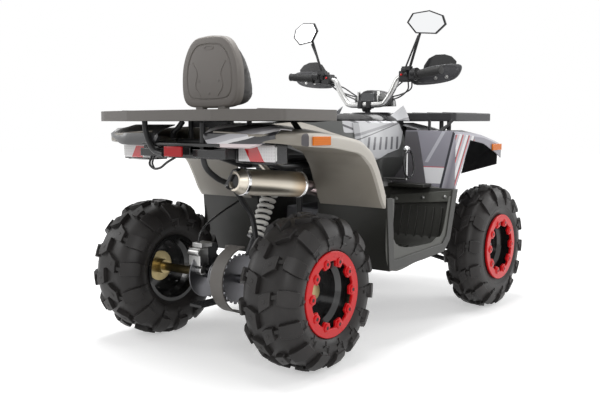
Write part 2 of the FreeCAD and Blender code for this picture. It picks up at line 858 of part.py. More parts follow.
def spring_shape(low, high, turns):
    """A coil with a four-sided wire between the damper's spring seats."""
    along = (high - low).normalize()
    length = (high - low).Length
    clear = size.seat_gap + size.spring_wire_radius
    start = low + along * (length * SPRING_SEAT_SHARES[0] + clear)
    rise = length * (SPRING_SEAT_SHARES[1] - SPRING_SEAT_SHARES[0]) - 2 * clear
    turn_to = Rotation(Z_AXIS, along)
    rings = []
    for step in range(turns * COIL_STEPS + 1):
        angle = 2 * math.pi * step / COIL_STEPS
        out = turn_to.multVec(Vector(math.cos(angle), math.sin(angle), 0))
        centre = start + along * (rise * step / (turns * COIL_STEPS)) + out * size.spring_radius
        wire = size.spring_wire_radius
        rings.append([centre + out * wire, centre + along * wire, centre - out * wire, centre - along * wire])
    return faceted(rings)


def front_shock_ends(side):
    low = Vector(front_x, side * size.front_shock_low_y, size.front_shock_low_z)
    high = Vector(front_x, side * size.front_shock_high_y, size.front_shock_high_z)
    return low, high


dampers = [damper_shape(*shock_ends(), Y_AXIS)]
springs = [spring_shape(*shock_ends(), REAR_COILS)]
for side in SIDES.values():
    dampers.append(damper_shape(*front_shock_ends(side), X_AXIS))
    springs.append(spring_shape(*front_shock_ends(side), FRONT_COILS))
feature("shock_absorbers", Part.makeCompound(dampers))
feature("coil_springs", Part.makeCompound(springs))


# Sprocket guard: a curved strip behind the sprocket

def guard_shape():
    centre = Vector(rear_x, 0, rear_radius)
    start = centre - Y_AXIS * (size.sprocket_y + size.guard_width / 2)
    outer = Part.makeCylinder(size.guard_radius, size.guard_width, start, Y_AXIS)
    inner = Part.makeCylinder(size.guard_radius - size.guard_wall, size.guard_width, start, Y_AXIS)
    reach = size.guard_radius + size.overrun
    keep_box = block((rear_x - reach, rear_x), (start.y, start.y + size.guard_width),
                     (rear_radius - reach, rear_radius + reach))
    strip = outer.cut(inner).common(keep_box)
    x_range = (rear_x - size.arm_tube_radius, rear_x)
    post_y = size.carrier_y - size.carrier_length / 2
    top = rear_radius + size.guard_radius
    foot = block(x_range, (start.y + size.guard_width / 2, post_y + size.guard_wall), (top - size.guard_wall, top))
    post = block(x_range, (post_y, post_y + size.guard_wall),
                 (rear_radius + size.carrier_radius + size.seat_gap, top))
    return strip.fuse([foot, post])


feature("sprocket_guard", guard_shape())


# Shares that the frame reads too

FOOTWELL_SHARES = [(0.0, 1.0), (0.04, 0.0), (0.79, 0.08), (0.88, 0.25), (0.99, 1.0)]
# Each station: place along the console, underside, half widths low, middle and high, and top, as shares.
CONSOLE_STATION_SHARES = [
    (0.00, 0.74, 0.64, 0.64, 0.64, 0.97), (0.24, 0.55, 0.64, 0.64, 0.64, 0.98),
    (0.272, 0.24, 0.60, 0.64, 0.64, 0.98), (0.40, 0.18, 0.56, 0.86, 0.74, 1.0),
    (0.50, 0.0, 0.50, 0.98, 0.86, 1.0), (0.83, 0.0, 0.50, 0.98, 0.84, 1.0), (1.0, 0.0, 0.50, 0.84, 0.54, 0.93)]
# Each station: place along the nose, underside, half width high, top and side width, as shares.
NOSE_STATION_SHARES = [(0.0, 0.30, 0.60, 0.96, 1.0), (0.22, 0.16, 0.66, 1.0, 1.0), (0.80, 0.05, 0.60, 0.90, 1.0),
                       (1.0, 0.0, 0.46, 0.62, 0.84)]


# Frame

def rail_z(x):
    """Height of the upper rail's line at a place along the machine, behind its kink."""
    share = (x + size.subframe_rear_x) / (size.subframe_rear_x - size.rail_kink_x)
    return between(size.subframe_z, size.upper_rail_z, min(share, 1))


clamp = Vector(size.clamp_x, 0, size.clamp_z)
stem_foot = Vector(front_x, 0, size.stem_foot_z)
stem_up = (clamp - stem_foot).normalize()


def on_stem(z):
    """The point of the steering stem's axis at a height."""
    return stem_foot + stem_up * ((z - stem_foot.z) / stem_up.z)


OUTRIGGER_SHARES = (0.25, 0.8)


def outrigger(side, share):
    """A bar from the lower rail out under the footwell's floor, which rises to the front."""
    corners = spots(FOOTWELL_SHARES[1:3], (-size.footwell_rear_x, size.footwell_front_x),
                    (size.footwell_bottom_z, size.footwell_top_z))
    (rear, rear_z), (front, front_z) = corners
    slope = (front_z - rear_z) / (front - rear)
    x = between(rear, front, share)
    z = between(rear_z, front_z, share) - (size.cross_radius + size.seat_gap) * math.hypot(1, slope)
    knee = size.footwell_inner + size.cross_radius
    points = [Vector(x, side * size.frame_half, size.lower_rail_z), Vector(x, side * knee, z),
              Vector(x, side * (knee + size.outrigger_reach), z)]
    return tube(points, size.cross_radius, size.frame_bend_radius)


def height_at(line, x):
    """The height of a line of (x, z) corners at a place."""
    for (start, start_z), (end, end_z) in zip(line, line[1:]):
        if start <= x <= end:
            return between(start_z, end_z, (x - start) / (end - start))
    raise ValueError("outside the line")


def cover_posts():
    """Places along the upper rails, and inner heights of the covers that rest on posts there."""
    console = spots([(item[0], item[5]) for item in CONSOLE_STATION_SHARES],
                    (-size.console_rear_x, size.console_front_x), (size.console_low_z, size.console_high_z))
    nose = spots([(item[0], item[3]) for item in NOSE_STATION_SHARES],
                 (size.nose_rear_x, size.nose_front_x), (size.nose_low_z, size.nose_high_z))
    found = []
    for line, index in ((console, 3), (console, 5), (nose, 1)):
        x = line[index][0]
        top = min(height_at(line, x - size.cross_radius), height_at(line, x + size.cross_radius))
        found.append((x, top - size.sheet_thickness))
    return found


def frame_shape():
    y = size.frame_half
    low = size.lower_rail_z
    high = size.upper_rail_z
    knee = -size.rail_rear_x - size.frame_tube_radius
    tubes = []
    for side in SIDES.values():
        top = [(-size.subframe_rear_x, size.subframe_z), (-size.rail_kink_x, high), (size.rail_mid_x, high),
               (size.rail_shoulder_x, size.rail_shoulder_z), (size.rail_front_x, size.upper_arm_in_z),
               (size.rail_front_x, low), (knee, low)]
        brace = [(size.rail_front_x, size.upper_arm_in_z), (size.rail_mid_x, size.upper_arm_in_z),
                 (size.rail_mid_x - size.frame_bend_radius, high)]
        for line, radius in ((top, size.frame_tube_radius), (brace, size.brace_radius)):
            tubes.append(tube([Vector(x, side * y, z) for x, z in line], radius, size.frame_bend_radius))
        tubes.append(rod(Vector(-size.rail_rear_x, side * y, low), Vector(-size.rail_rear_x, side * y, high),
                         size.brace_radius))
    shock_z = size.front_shock_high_z + size.eye_radius + size.seat_gap + size.cross_radius
    shock_half = size.front_shock_high_y + size.eye_half
    bearings = [on_stem(size.upper_arm_in_z), on_stem(high)]
    cross = [(-size.rail_rear_x, size.pivot_z + size.frame_bend_radius, y), (front_x, shock_z, shock_half),
             (size.rail_front_x - size.frame_bend_radius, low, y), (-size.rear_shock_high_x, high, y),
             (-size.subframe_rear_x, size.subframe_z, y)]
    cross += [(spot.x, spot.z, y) for spot in bearings]
    bars = [rod(Vector(x, -half, z), Vector(x, half, z), size.cross_radius) for x, z, half in cross]
    for side in SIDES.values():
        for x, high_z in cover_posts():
            bars.append(rod(Vector(x, side * y, high), Vector(x, side * y, high_z - size.seat_gap), size.cross_radius))
        for share in OUTRIGGER_SHARES:
            bars.append(outrigger(side, share))
    half_sleeve = stem_up * size.bearing_length / 2
    sleeves = [rod(spot - half_sleeve, spot + half_sleeve, size.stem_radius + size.bearing_wall) for spot in bearings]
    bore = rod(stem_foot, clamp, size.stem_radius + size.bearing_gap)
    return tubes[0].fuse(tubes[1:] + bars + sleeves).cut(bore)


feature("main_frame", frame_shape())

engine = doc.addObject("Part::Box", "engine_box")
engine.setExpression("Length", bound("engine_length"))
engine.setExpression("Width", bound("engine_width"))
engine.setExpression("Height", bound("engine_height"))
engine.setExpression("Placement.Base.x", bound("engine_x - engine_length / 2"))
engine.setExpression("Placement.Base.y", bound("-engine_width / 2"))
engine.setExpression("Placement.Base.z", bound("lower_rail_z + frame_tube_radius + seat_gap"))
keep(engine, "engine_block")


def skid_shape():
    top = size.lower_rail_z - size.frame_tube_radius - size.skid_gap
    line = [(-size.skid_rear_x, top), (size.skid_front_x, top),
            (size.skid_front_x + size.skid_nose_run, top + size.skid_nose_rise)]
    strip = band(line, -size.skid_plate_thickness)
    return prism(strip, -size.skid_width / 2, size.skid_width / 2)


feature("skid_plate", skid_shape())


# Footwells


def footwell_shape():
    x_range = (-size.footwell_rear_x, size.footwell_front_x)
    z_range = (size.footwell_bottom_z, size.footwell_top_z)
    outline = spots(FOOTWELL_SHARES, x_range, z_range)
    shell = prism(outline, size.footwell_inner, size.body_half)
    cavity = shrunk_outline(outline, size.footwell_wall)
    room = prism(cavity, size.footwell_inner + size.footwell_wall, size.body_half - size.footwell_lip)
    window = shrunk_outline(outline, size.footwell_frame)
    hole = prism(window, size.footwell_inner + size.footwell_wall, size.body_half + size.overrun)
    return shell.cut([room, hole])


def shrunk_outline(outline, wall):
    """The walls inside an outline that is open at its top, from its rear top corner to its front one."""
    inner = band(outline, wall)[len(outline):][::-1]
    lift = size.overrun
    first = (inner[0][0], inner[0][1] + lift)
    last = (inner[-1][0], inner[-1][1] + lift)
    return [first] + inner[1:-1] + [last]


feature("footwells", pair(footwell_shape()))


def sheet_middle(line):
    """The line halfway through a sheet that lies inside a section's line."""
    return band(line, -size.sheet_thickness / 2)[len(line):][::-1]


CONSOLE_REAR_SHARE = 0.64
FENDER_SHOULDER_SHARE = 0.55

# Rear fenders: a C-shaped section carried from the tail to the footwell
# Each station: place along the fender, outer top, outer bottom, inner top and inner bottom edge, as shares.

REAR_FENDER_SHARES = [
    (0.00, 0.985, 0.905, 1.01, 0.86), (0.16, 1.0, 0.845, 1.04, 0.86), (0.44, 0.976, 0.816, 1.08, 0.62),
    (0.71, 0.90, 0.73, 1.12, 0.46), (0.85, 0.755, 0.54, 1.12, 0.41), (0.96, 0.40, 0.115, 1.06, 0.39),
    (1.0, 0.22, 0.0, 1.0, 0.38)]


# The lower edge of the panel behind the lamps, from its outer end: distance to the side and height, as shares.
TAIL_EDGE_SHARES = [(0.93, 0.965), (0.886, 0.93), (0.67, 0.83), (0.50, 0.822), (0.334, 0.875)]


def rear_fender_shape():
    x_range = (-size.rear_fender_rear_x, -size.rear_fender_front_x)
    z_range = (size.rear_fender_low_z, size.rear_fender_high_z)
    rings = []
    for x_share, top_share, low_share, inner_share, reach_share in REAR_FENDER_SHARES:
        x = between(*x_range, x_share)
        top = between(*z_range, top_share)
        low = between(*z_range, low_share)
        inner_top = between(*z_range, inner_share)
        outer = size.body_half
        inner = size.console_half * CONSOLE_REAR_SHARE + size.seat_gap + size.sheet_thickness / 2
        line = [(inner, inner_top), (outer - size.rear_fender_round, top),
                (outer, top - size.rear_fender_round), (outer, low), (outer * reach_share, low)]
        sweep = 0 if x_share else size.rear_fender_sweep / (outer - inner)
        rings.append([Vector(x - (y - inner) * sweep, y, z) for y, z in band(line, -size.sheet_thickness)])
        if not x_share:
            tail = [point for point in sheet_middle(line)[:2]]
            tail += [(outer * y, between(*z_range, z)) for y, z in TAIL_EDGE_SHARES]
            panel = [[Vector(x - (y - inner) * sweep + step, y, z) for y, z in tail]
                     for step in (0, size.sheet_thickness)]
    return faceted_capped(rings).fuse(faceted(panel))


def faceted_capped(rings):
    """Like a faceted solid, with the ends closed by the strips between their two rims.

    Both skins of the sheet are split along the same diagonals, so that they stay apart where it twists.
    """
    faces = []
    for ring in (rings[0], rings[-1]):
        half = len(ring) // 2
        for index in range(half - 1):
            partner = len(ring) - 1 - index
            faces.append(flat_face(ring[index], ring[index + 1], ring[partner - 1], ring[partner]))
    for low, high in zip(rings, rings[1:]):
        count = len(low)
        for index in range(count):
            after = (index + 1) % count
            near, far = (index, after) if index < count // 2 else (after, index)
            faces.append(flat_face(low[index], low[after], high[far]))
            faces.append(flat_face(low[near], high[after], high[index]))
    return solid_of(faces)


feature("rear_fenders", pair(rear_fender_shape()))


# Front fenders, each with a shield before the rider's leg and a flap before the wheel

# Each station: place along the fender, outer top, outer bottom and inner top, as shares.
FRONT_FENDER_SHARES = [
    (0.00, 0.98, 0.00, 1.0), (0.08, 0.985, 0.22, 1.0), (0.30, 0.965, 0.84, 1.0),
    (0.60, 0.92, 0.77, 1.0), (0.88, 0.82, 0.60, 0.94), (1.0, 0.77, 0.50, 0.88)]
# The shield's and the flap's inner edges and lower corners: distance to the side and height, as shares.
SHIELD_SHARES = [(0.592, 1.0), (0.692, 0.094)]
FLAP_SHARES = [(0.669, 1.0), (0.567, 0.18), (0.96, 0.382)]


def front_fender_lines():
    """The fender's places along the machine and the lines of its section there."""
    lines = []
    outer = size.front_fender_outer
    inner = size.nose_half + size.seat_gap
    shoulder = between(inner, outer, FENDER_SHOULDER_SHARE)
    for x_share, *z_shares in FRONT_FENDER_SHARES:
        x = between(size.front_fender_rear_x, size.front_fender_front_x, x_share)
        top, low, inner_top = [between(size.front_fender_low_z, size.front_fender_high_z, share)
                               for share in z_shares]
        line = [(inner, inner_top), (shoulder, inner_top), (outer - size.rear_fender_round, top),
                (outer, top - size.rear_fender_round), (outer, low)]
        lines.append((x, line))
    return lines


def wall_across(x, outline):
    """A plate of the sheet's thickness across the machine."""
    return faceted([[Vector(place, y, z) for y, z in outline] for place in (x, x + size.sheet_thickness)])


def front_fender_shape():
    lines = front_fender_lines()
    rings = [[Vector(x, y, z) for y, z in band(line, -size.sheet_thickness)] for x, line in lines]
    outer = size.front_fender_outer
    shares = [(SHIELD_SHARES, lines[0][1]), (FLAP_SHARES, lines[-1][1])]
    corners = [[(outer * y, between(size.front_fender_low_z, size.front_fender_high_z, z)) for y, z in share]
               for share, line in shares]
    rear, front = [sheet_middle(line) for share, line in shares]
    shield = [(corners[0][0][0], rear[0][1])] + rear[1:] + corners[0][1:]
    flap = [(corners[1][0][0], front[0][1])] + front[1:3] + corners[1][:0:-1]
    walls = [wall_across(lines[0][0], shield),
             wall_across(lines[-1][0] - size.sheet_thickness, flap)]
    return faceted_capped(rings).fuse(walls)


feature("front_fenders", pair(front_fender_shape()))


# Console between seat and nose, side panels, seat and nose

CONSOLE_MIDDLE_SHARE = 0.5


def cover_rings(stations, inset):
    """Rings of a cover that is open below: (x, low, half low, half middle, half high, middle, high)."""
    drop = size.overrun if inset else 0
    rings = []
    for x, low, low_half, middle_half, high_half, middle, high in stations:
        flare = (middle_half - low_half) / (middle - low)
        low_half, middle_half, high_half = low_half - inset - flare * drop, middle_half - inset, high_half - inset
        rings.append([Vector(x, low_half, low - drop), Vector(x, middle_half, middle),
                      Vector(x, high_half, high - inset), Vector(x, -high_half, high - inset),
                      Vector(x, -middle_half, middle), Vector(x, -low_half, low - drop)])
    return rings


def console_stations():
    stations = []
    for x_share, low_share, low_half, middle_half, top_half, top_share in CONSOLE_STATION_SHARES:
        x = between(-size.console_rear_x, size.console_front_x, x_share)
        half = size.console_half
        low = between(size.console_low_z, size.console_high_z, low_share)
        high = between(size.console_low_z, size.console_high_z, top_share)
        middle = between(max(low, size.console_low_z), high, CONSOLE_MIDDLE_SHARE)
        stations.append((x, low, half * low_half, half * middle_half, half * top_half, middle, high))
    return stations


def console_shape():
    stations = console_stations()
    outer = faceted(cover_rings(stations, 0))
    longer = [(stations[0][0] - size.overrun,) + stations[0][1:]] + stations[1:-1]
    longer += [(stations[-1][0] + size.overrun,) + stations[-1][1:]]
    inner = faceted(cover_rings(longer, size.sheet_thickness))
    clamp = Vector(size.clamp_x, 0, size.clamp_z)
    foot = Vector(front_x, 0, size.stem_foot_z)
    stem_hole = rod(foot, clamp, size.stem_radius + size.stem_gap)
    return outer.cut([inner, stem_hole])


# Each station: place along the seat, width and top, as shares.
SEAT_STATION_SHARES = [(0.0, 0.90, 0.85), (0.10, 1.0, 1.0), (0.5, 1.0, 0.92), (0.85, 0.90, 0.94), (1.0, 0.62, 0.72)]
SEAT_SHOULDER_SHARE = 0.7
SEAT_TOP_SHARE = 0.86


def seat_shape():
    rings = []
    for x_share, width_share, top_share in SEAT_STATION_SHARES:
        x = between(-size.seat_rear_x, size.seat_front_x, x_share)
        half = size.seat_half * width_share
        low = size.console_high_z + size.seat_gap
        high = between(low, size.seat_high_z, top_share)
        shoulder = between(low, high, SEAT_SHOULDER_SHARE)
        top_half = half * SEAT_TOP_SHARE
        rings.append([Vector(x, half, low), Vector(x, half, shoulder), Vector(x, top_half, high),
                      Vector(x, -top_half, high), Vector(x, -half, shoulder), Vector(x, -half, low)])
    return faceted(rings)


NOSE_SIDE_SHARE = 0.86


def nose_shape():
    stations = []
    for x_share, low_share, high_half, top_share, half_share in NOSE_STATION_SHARES:
        x = between(size.nose_rear_x, size.nose_front_x, x_share)
        half = size.nose_half * half_share
        low = between(size.nose_low_z, size.nose_high_z, low_share)
        high = between(size.nose_low_z, size.nose_high_z, top_share)
        middle = between(low, high, NOSE_SIDE_SHARE)
        stations.append((x, low, half, half, size.nose_half * high_half, middle, high))
    outer = faceted(cover_rings(stations, 0))
    shorter = [(stations[0][0] - size.overrun,) + stations[0][1:]] + stations[1:-1]
    shorter += [(stations[-1][0] - size.sheet_thickness,) + stations[-1][1:]]
    inner = faceted(cover_rings(shorter, size.sheet_thickness))
    return outer.cut(inner)


# Corners of the side panels: place along the panel and height, as shares.
PANEL_SHARES = [(0.0, 1.0), (0.0, 0.55), (0.27, 0.0), (0.55, 0.20), (0.80, 0.30), (1.0, 0.75), (0.97, 1.0)]


def side_panel_shapes():
    """Sheets that lie on the console's sides, cut to the panel's outline."""
    outline = spots(PANEL_SHARES, (-size.panel_rear_x, size.panel_front_x), (size.panel_low_z, size.panel_high_z))
    inside, outside = [faceted(cover_rings(console_stations(), -grown))
                       for grown in (size.seat_gap, size.seat_gap + size.sheet_thickness)]
    sheet_over = outside.cut(inside)
    reach = size.console_half + size.overrun
    start = size.console_half * CONSOLE_MIDDLE_SHARE
    return Part.makeCompound([prism(outline, *sorted((side * start, side * reach))).common(sheet_over)
                              for side in SIDES.values()])


feature("console", console_shape())
feature("seat", seat_shape())
feature("nose_cover", nose_shape())
feature("side_panels", side_panel_shapes())


# Lamps and reflectors

HEAD_LAMP_HEIGHT_SHARE = 0.28
HEAD_LAMP_FACE_SHARE = 0.8


def head_lamp_shape():
    x = size.nose_front_x + size.seat_gap
    centre = Vector(x, size.head_lamp_y, between(size.nose_low_z, size.nose_high_z, HEAD_LAMP_HEIGHT_SHARE))
    return Part.makeCone(size.head_lamp_radius, size.head_lamp_radius * HEAD_LAMP_FACE_SHARE,
                         size.head_lamp_depth, centre, X_AXIS)


def tail_lamp_shape():
    x = -size.tail_lamp_x
    return block((x, x + size.tail_lamp_length), (size.tail_lamp_inner, size.tail_lamp_outer),
                 (size.tail_lamp_low_z, size.tail_lamp_high_z))


def tail_cover_shape():
    wall = size.tail_housing_wall
    slope = (size.subframe_z - size.upper_rail_z) / (size.subframe_rear_x - size.rail_kink_x)
    beam_top = rail_z(-size.tail_beam_front_x) - size.frame_tube_radius * math.hypot(1, slope) - size.seat_gap
    beam = block((-size.tail_beam_rear_x, -size.tail_beam_front_x), (-size.tail_beam_half, size.tail_beam_half),
                 (size.tail_beam_low_z, beam_top))
    pods = []
    for side in SIDES.values():
        y_range = sorted((side * (size.tail_lamp_inner - wall * 3), side * (size.tail_lamp_outer + wall)))
        front = -size.tail_lamp_x + size.tail_lamp_length + size.overrun
        pod = block((-size.tail_lamp_x + wall, front), y_range,
                    (size.tail_lamp_low_z - wall, size.tail_lamp_high_z + wall))
        room_y = sorted((side * (size.tail_lamp_inner - size.seat_gap), side * (size.tail_lamp_outer
                                                                               + size.seat_gap)))
        room = block((-size.tail_lamp_x - size.overrun, -size.tail_lamp_x + size.tail_lamp_length
                      + size.seat_gap), room_y,
                     (size.tail_lamp_low_z - size.seat_gap, size.tail_lamp_high_z + size.seat_gap))
        pods.append(pod.cut(room))
    boss = block((-size.reflector_x + size.reflector_depth + size.seat_gap, -size.tail_beam_rear_x),
                 (-size.reflector_half + wall, size.reflector_half - wall),
                 (size.reflector_low_z + wall, size.reflector_high_z - wall))
    return beam.fuse(pods + [boss])


def reflector_shape():
    return block((-size.reflector_x, -size.reflector_x + size.reflector_depth),
                 (-size.reflector_half, size.reflector_half), (size.reflector_low_z, size.reflector_high_z))


def side_reflector_shapes():
    found = []
    for side in SIDES.values():
        for x, z in ((-size.rear_side_reflector_x, size.rear_side_reflector_z),
                     (size.front_side_reflector_x, size.front_side_reflector_z)):
            outer = size.body_half if x < 0 else size.front_fender_outer
            y_range = sorted((side * (outer + size.seat_gap), side * (outer + size.side_reflector_depth)))
            found.append(block((x - size.side_reflector_length / 2, x + size.side_reflector_length / 2), y_range,
                               (z - size.side_reflector_height / 2, z + size.side_reflector_height / 2)))
    return found


feature("head_lamps", pair(head_lamp_shape()))
feature("tail_lamps", pair(tail_lamp_shape()))
feature("tail_cover", tail_cover_shape())
feature("brake_lens", reflector_shape())
feature("side_reflectors", Part.makeCompound(side_reflector_shapes()))


# Racks

def rack_body(label, corners, z, sketch_name):
    body = new_body(label, z=z)
    sketch = outline_sketch(body, sketch_name, "XY_Plane", corners)
    base = pad(body, sketch, "rack_thickness")
    round_edges(body, base, Z_AXIS, "rack_corner_round")
    return body


# Corners of each rack from its rear left round the rear: place over the rear or front edge, and half width.
REAR_RACK_SHARES = [(1.0, 0.46), (0.956, 0.86), (0.92, 1.0)]
FRONT_RACK_SHARES = [(0.96, 1.0), (1.0, 0.8)]

left_rear = [("-rear_rack_rear_x * %s" % x, "rear_rack_half * %s" % y) for x, y in REAR_RACK_SHARES]
left_rear.append(("-rear_rack_front_x", "rear_rack_half"))
right_rear = [(x, "-" + y) for x, y in left_rear]
rear_rack = rack_body("rear_rack", right_rear + left_rear[::-1], "rear_rack_z", "rear_rack_outline")


def tie_down_holes(body):
    """Two holes through the rack on one side, repeated on the other by a pattern."""
    sketch = body.newObject("Sketcher::SketchObject", "tie_down_holes")
    sketch.AttachmentSupport = [(plane_of(body, "XY_Plane"), "")]
    sketch.MapMode = "FlatFace"
    for index, sign in enumerate("+-"):
        across = "-tie_centre_x %s tie_pitch_x / 2" % sign
        side = "-tie_pitch_y / 2"
        centre = Vector(evaluate(across), evaluate(side), 0)
        sketch.addGeometry(Part.Circle(centre, Z_AXIS, size.tie_hole_radius), False)
        for kind, text in (("DistanceX", across), ("DistanceY", side)):
            place = sketch.addConstraint(Sketcher.Constraint(kind, -1, 1, index, 3, evaluate(text)))
            sketch.setExpression("Constraints[%d]" % place, bound(text))
        place = sketch.addConstraint(Sketcher.Constraint("Radius", index, size.tie_hole_radius))
        sketch.setExpression("Constraints[%d]" % place, bound("tie_hole_radius"))
    holes = pocket(body, sketch, "rack_thickness", backwards=True)
    before = body.Shape.Volume
    pattern = body.newObject("PartDesign::LinearPattern", "tie_down_pattern")
    pattern.Originals = [holes]
    pattern.Direction = (sketch, ["V_Axis"])
    pattern.setExpression("Length", bound("tie_pitch_y"))
    pattern.Occurrences = 2
    body.Tip = pattern
    doc.recompute()
    if body.Shape.Volume >= before:
        raise RuntimeError("pattern cuts nothing")


tie_down_holes(rear_rack)
keep(rear_rack, "rear_rack")

left_front = [("front_rack_rear_x", "front_rack_half")]
left_front += [("front_rack_front_x * %s" % x, "front_rack_half * %s" % y) for x, y in FRONT_RACK_SHARES]
right_front = [(x, "-" + y) for x, y in left_front]
front_rack = rack_body("front_rack", right_front + left_front[::-1], "front_rack_z", "front_rack_outline")
keep(front_rack, "front_rack")

BRACKET_PLACE_SHARES = (0.42, 0.58)
BRACKET_SIDE_SHARE = 0.3


def bracket_shapes():
    """Posts under both racks: on the frame's rear rails and on the front fenders' tops."""
    posts = []
    for side in SIDES.values():
        for x in (-size.subframe_rear_x + size.frame_bend_radius, -size.rear_rack_front_x - size.frame_bend_radius):
            slope = (size.subframe_z - size.upper_rail_z) / (size.subframe_rear_x - size.rail_kink_x)
            lift = size.frame_tube_radius * math.hypot(1, slope) + size.bracket_radius * slope + size.seat_gap
            low = Vector(x, side * size.frame_half, rail_z(x) + lift)
            posts.append(rod(low, Vector(low.x, low.y, size.rear_rack_z - size.seat_gap), size.bracket_radius))
        for x_share in BRACKET_PLACE_SHARES:
            x = between(size.front_fender_rear_x, size.front_fender_front_x, x_share)
            low = Vector(x, side * between(size.nose_half, size.front_fender_outer, BRACKET_SIDE_SHARE),
                         size.front_fender_high_z + size.seat_gap)
            posts.append(rod(low, Vector(low.x, low.y, size.front_rack_z - size.seat_gap), size.bracket_radius))
    top = size.rear_rack_z - size.seat_gap
    x = -size.bracket_box_x
    posts.append(block((x, x + size.bracket_box_length), (-size.bracket_box_half, size.bracket_box_half),
                       (top - size.bracket_box_height, top)))
    return posts


feature("rack_brackets", Part.makeCompound(bracket_shapes()))


# Backrest

BACKREST_SHARES = [(-0.60, 0.0), (-0.90, 0.06), (-1.0, 0.26), (-0.96, 0.65), (-0.62, 0.97), (-0.12, 1.0),
                   (0.12, 1.0), (0.62, 0.97), (0.96, 0.65), (1.0, 0.26), (0.90, 0.06), (0.60, 0.0)]


BACKREST_FOOT_SHARES = (0.26, 0.50)


def backrest_ring(x, inset):
    half = size.backrest_half - inset
    return [Vector(x, half * y_share, between(size.backrest_low_z + inset, size.backrest_high_z - inset, z_share))
            for y_share, z_share in BACKREST_SHARES]


def backrest_shell_shape():
    rear = -size.backrest_rear_x
    front = rear + size.backrest_shell_thickness
    edge = size.backrest_recess_margin / 4
    shell = faceted([backrest_ring(rear, edge), backrest_ring(rear + edge, 0), backrest_ring(front, 0)])
    rack_top = size.rear_rack_z + size.rack_thickness
    feet = []
    for side in SIDES.values():
        y_range = sorted(side * size.backrest_half * share for share in BACKREST_FOOT_SHARES)
        feet.append(block((rear + edge, front), y_range, (rack_top + size.seat_gap, size.backrest_low_z + edge * 2)))
    return shell.fuse(feet)


def cushion_shape():
    start = -size.backrest_rear_x + size.backrest_shell_thickness + size.seat_gap
    margin = size.cushion_margin
    low = backrest_ring(start, margin)
    span = size.backrest_high_z - size.backrest_low_z
    front = []
    for point in backrest_ring(start, margin * 2):
        share = (size.backrest_high_z - point.z) / span
        reach = between(size.cushion_top_thickness, size.cushion_low_thickness, share)
        front.append(Vector(point.x + reach, point.y, point.z))
    return faceted([low, front])


feature("backrest_shell", backrest_shell_shape())
feature("backrest_cushion", cushion_shape())


# Exhaust

OUTLET_CAP_SHARE = 1.3
PIPE_CONE_SHARE = 1.2
PIPE_DROP_SHARES = (1.25, 1.6)
EXHAUST_PORT_SHARE = 0.8


def exhaust_shape():
    yaw = math.radians(size.muffler_yaw)
    drop = math.tan(math.radians(size.muffler_pitch))
    ahead = Vector(math.cos(yaw), -math.sin(yaw), -drop).normalize()
    rear = Vector(-size.muffler_rear_x, -size.muffler_y, size.muffler_z)
    front = rear + ahead * size.muffler_length
    can = rod(rear + ahead * size.muffler_cap, front, size.muffler_radius)
    cap = Part.makeCone(size.outlet_radius * OUTLET_CAP_SHARE, size.muffler_radius, size.muffler_cap, rear, ahead)
    tail = Part.makeCone(size.muffler_radius, size.pipe_radius * PIPE_CONE_SHARE, size.muffler_cap, front, ahead)
    outlet = Part.makeCylinder(size.outlet_radius, size.outlet_depth + size.overrun, rear - ahead * size.overrun,
                               ahead)
    run_y = -size.frame_half - size.frame_tube_radius - size.pipe_radius - size.footwell_wall
    port_z = size.lower_rail_z + size.frame_tube_radius + size.engine_height * EXHAUST_PORT_SHARE
    high_knee, low_knee = [size.muffler_z - size.muffler_radius * share for share in PIPE_DROP_SHARES]
    pipe = tube([front, front + ahead * (size.muffler_cap + 2 * size.pipe_radius),
                 Vector(-size.rail_rear_x - size.pipe_radius, run_y, high_knee),
                 Vector(-size.rail_rear_x + size.frame_bend_radius, run_y, low_knee),
                 Vector(size.engine_x, run_y, port_z)], size.pipe_radius, size.pipe_bend_radius)
    port_half = size.pipe_radius + size.footwell_wall
    port = block((size.engine_x - port_half, size.engine_x + port_half),
                 (run_y, -size.engine_width / 2 - size.seat_gap), (port_z - port_half, port_z + port_half))
    hang_x = -size.hanger_x
    along = (hang_x - rear.x) / ahead.x
    rail_spot = Vector(hang_x, -size.frame_half, rail_z(hang_x))
    hanger = rod(rear + ahead * along, rail_spot, size.arm_radius)
    run = Vector(size.subframe_rear_x - size.rail_kink_x, 0, size.upper_rail_z - size.subframe_z).normalize()
    rail = rod(rail_spot - run * size.muffler_radius, rail_spot + run * size.muffler_radius,
               size.frame_tube_radius + size.seat_gap)
    return can.fuse([cap, tail, pipe, port, hanger.cut(rail)]).cut(outlet)


feature("exhaust", exhaust_shape())


# Front suspension: two arms a side, from the frame to the knuckle's ball joints

ARM_COLLAR_SHARE = 3
ARM_LEG_SHARE = 1.8
ARM_BARREL_SHARE = 1.4


def arm_shape(side, inner_z, ball_z, up):
    ball = Vector(front_x, side * size.kingpin_y, ball_z)
    gap = size.ball_gap
    collar_start = ball + Z_AXIS * up * (size.knuckle_radius + gap)
    collar = Part.makeCylinder(size.ball_radius, size.arm_radius * ARM_COLLAR_SHARE, collar_start, Z_AXIS * up)
    end = collar_start + Z_AXIS * up * size.arm_radius * ARM_LEG_SHARE
    barrel_radius = size.arm_radius * ARM_BARREL_SHARE
    barrel_y = size.frame_half + size.frame_tube_radius + size.seat_gap + barrel_radius
    legs = []
    for x_side in (1, -1):
        start = Vector(front_x + x_side * size.arm_half_base, side * barrel_y, inner_z)
        legs.append(rod(start, end, size.arm_radius))
        half_barrel = X_AXIS * size.arm_radius * ARM_COLLAR_SHARE / 2
        legs.append(rod(start - half_barrel, start + half_barrel, barrel_radius))
    return collar.fuse(legs)


arms = []
for side in SIDES.values():
    arms.append(arm_shape(side, size.lower_arm_in_z, size.lower_ball_z, -1))
    arms.append(arm_shape(side, size.upper_arm_in_z, size.upper_ball_z, 1))
feature("front_arms", Part.makeCompound(arms))


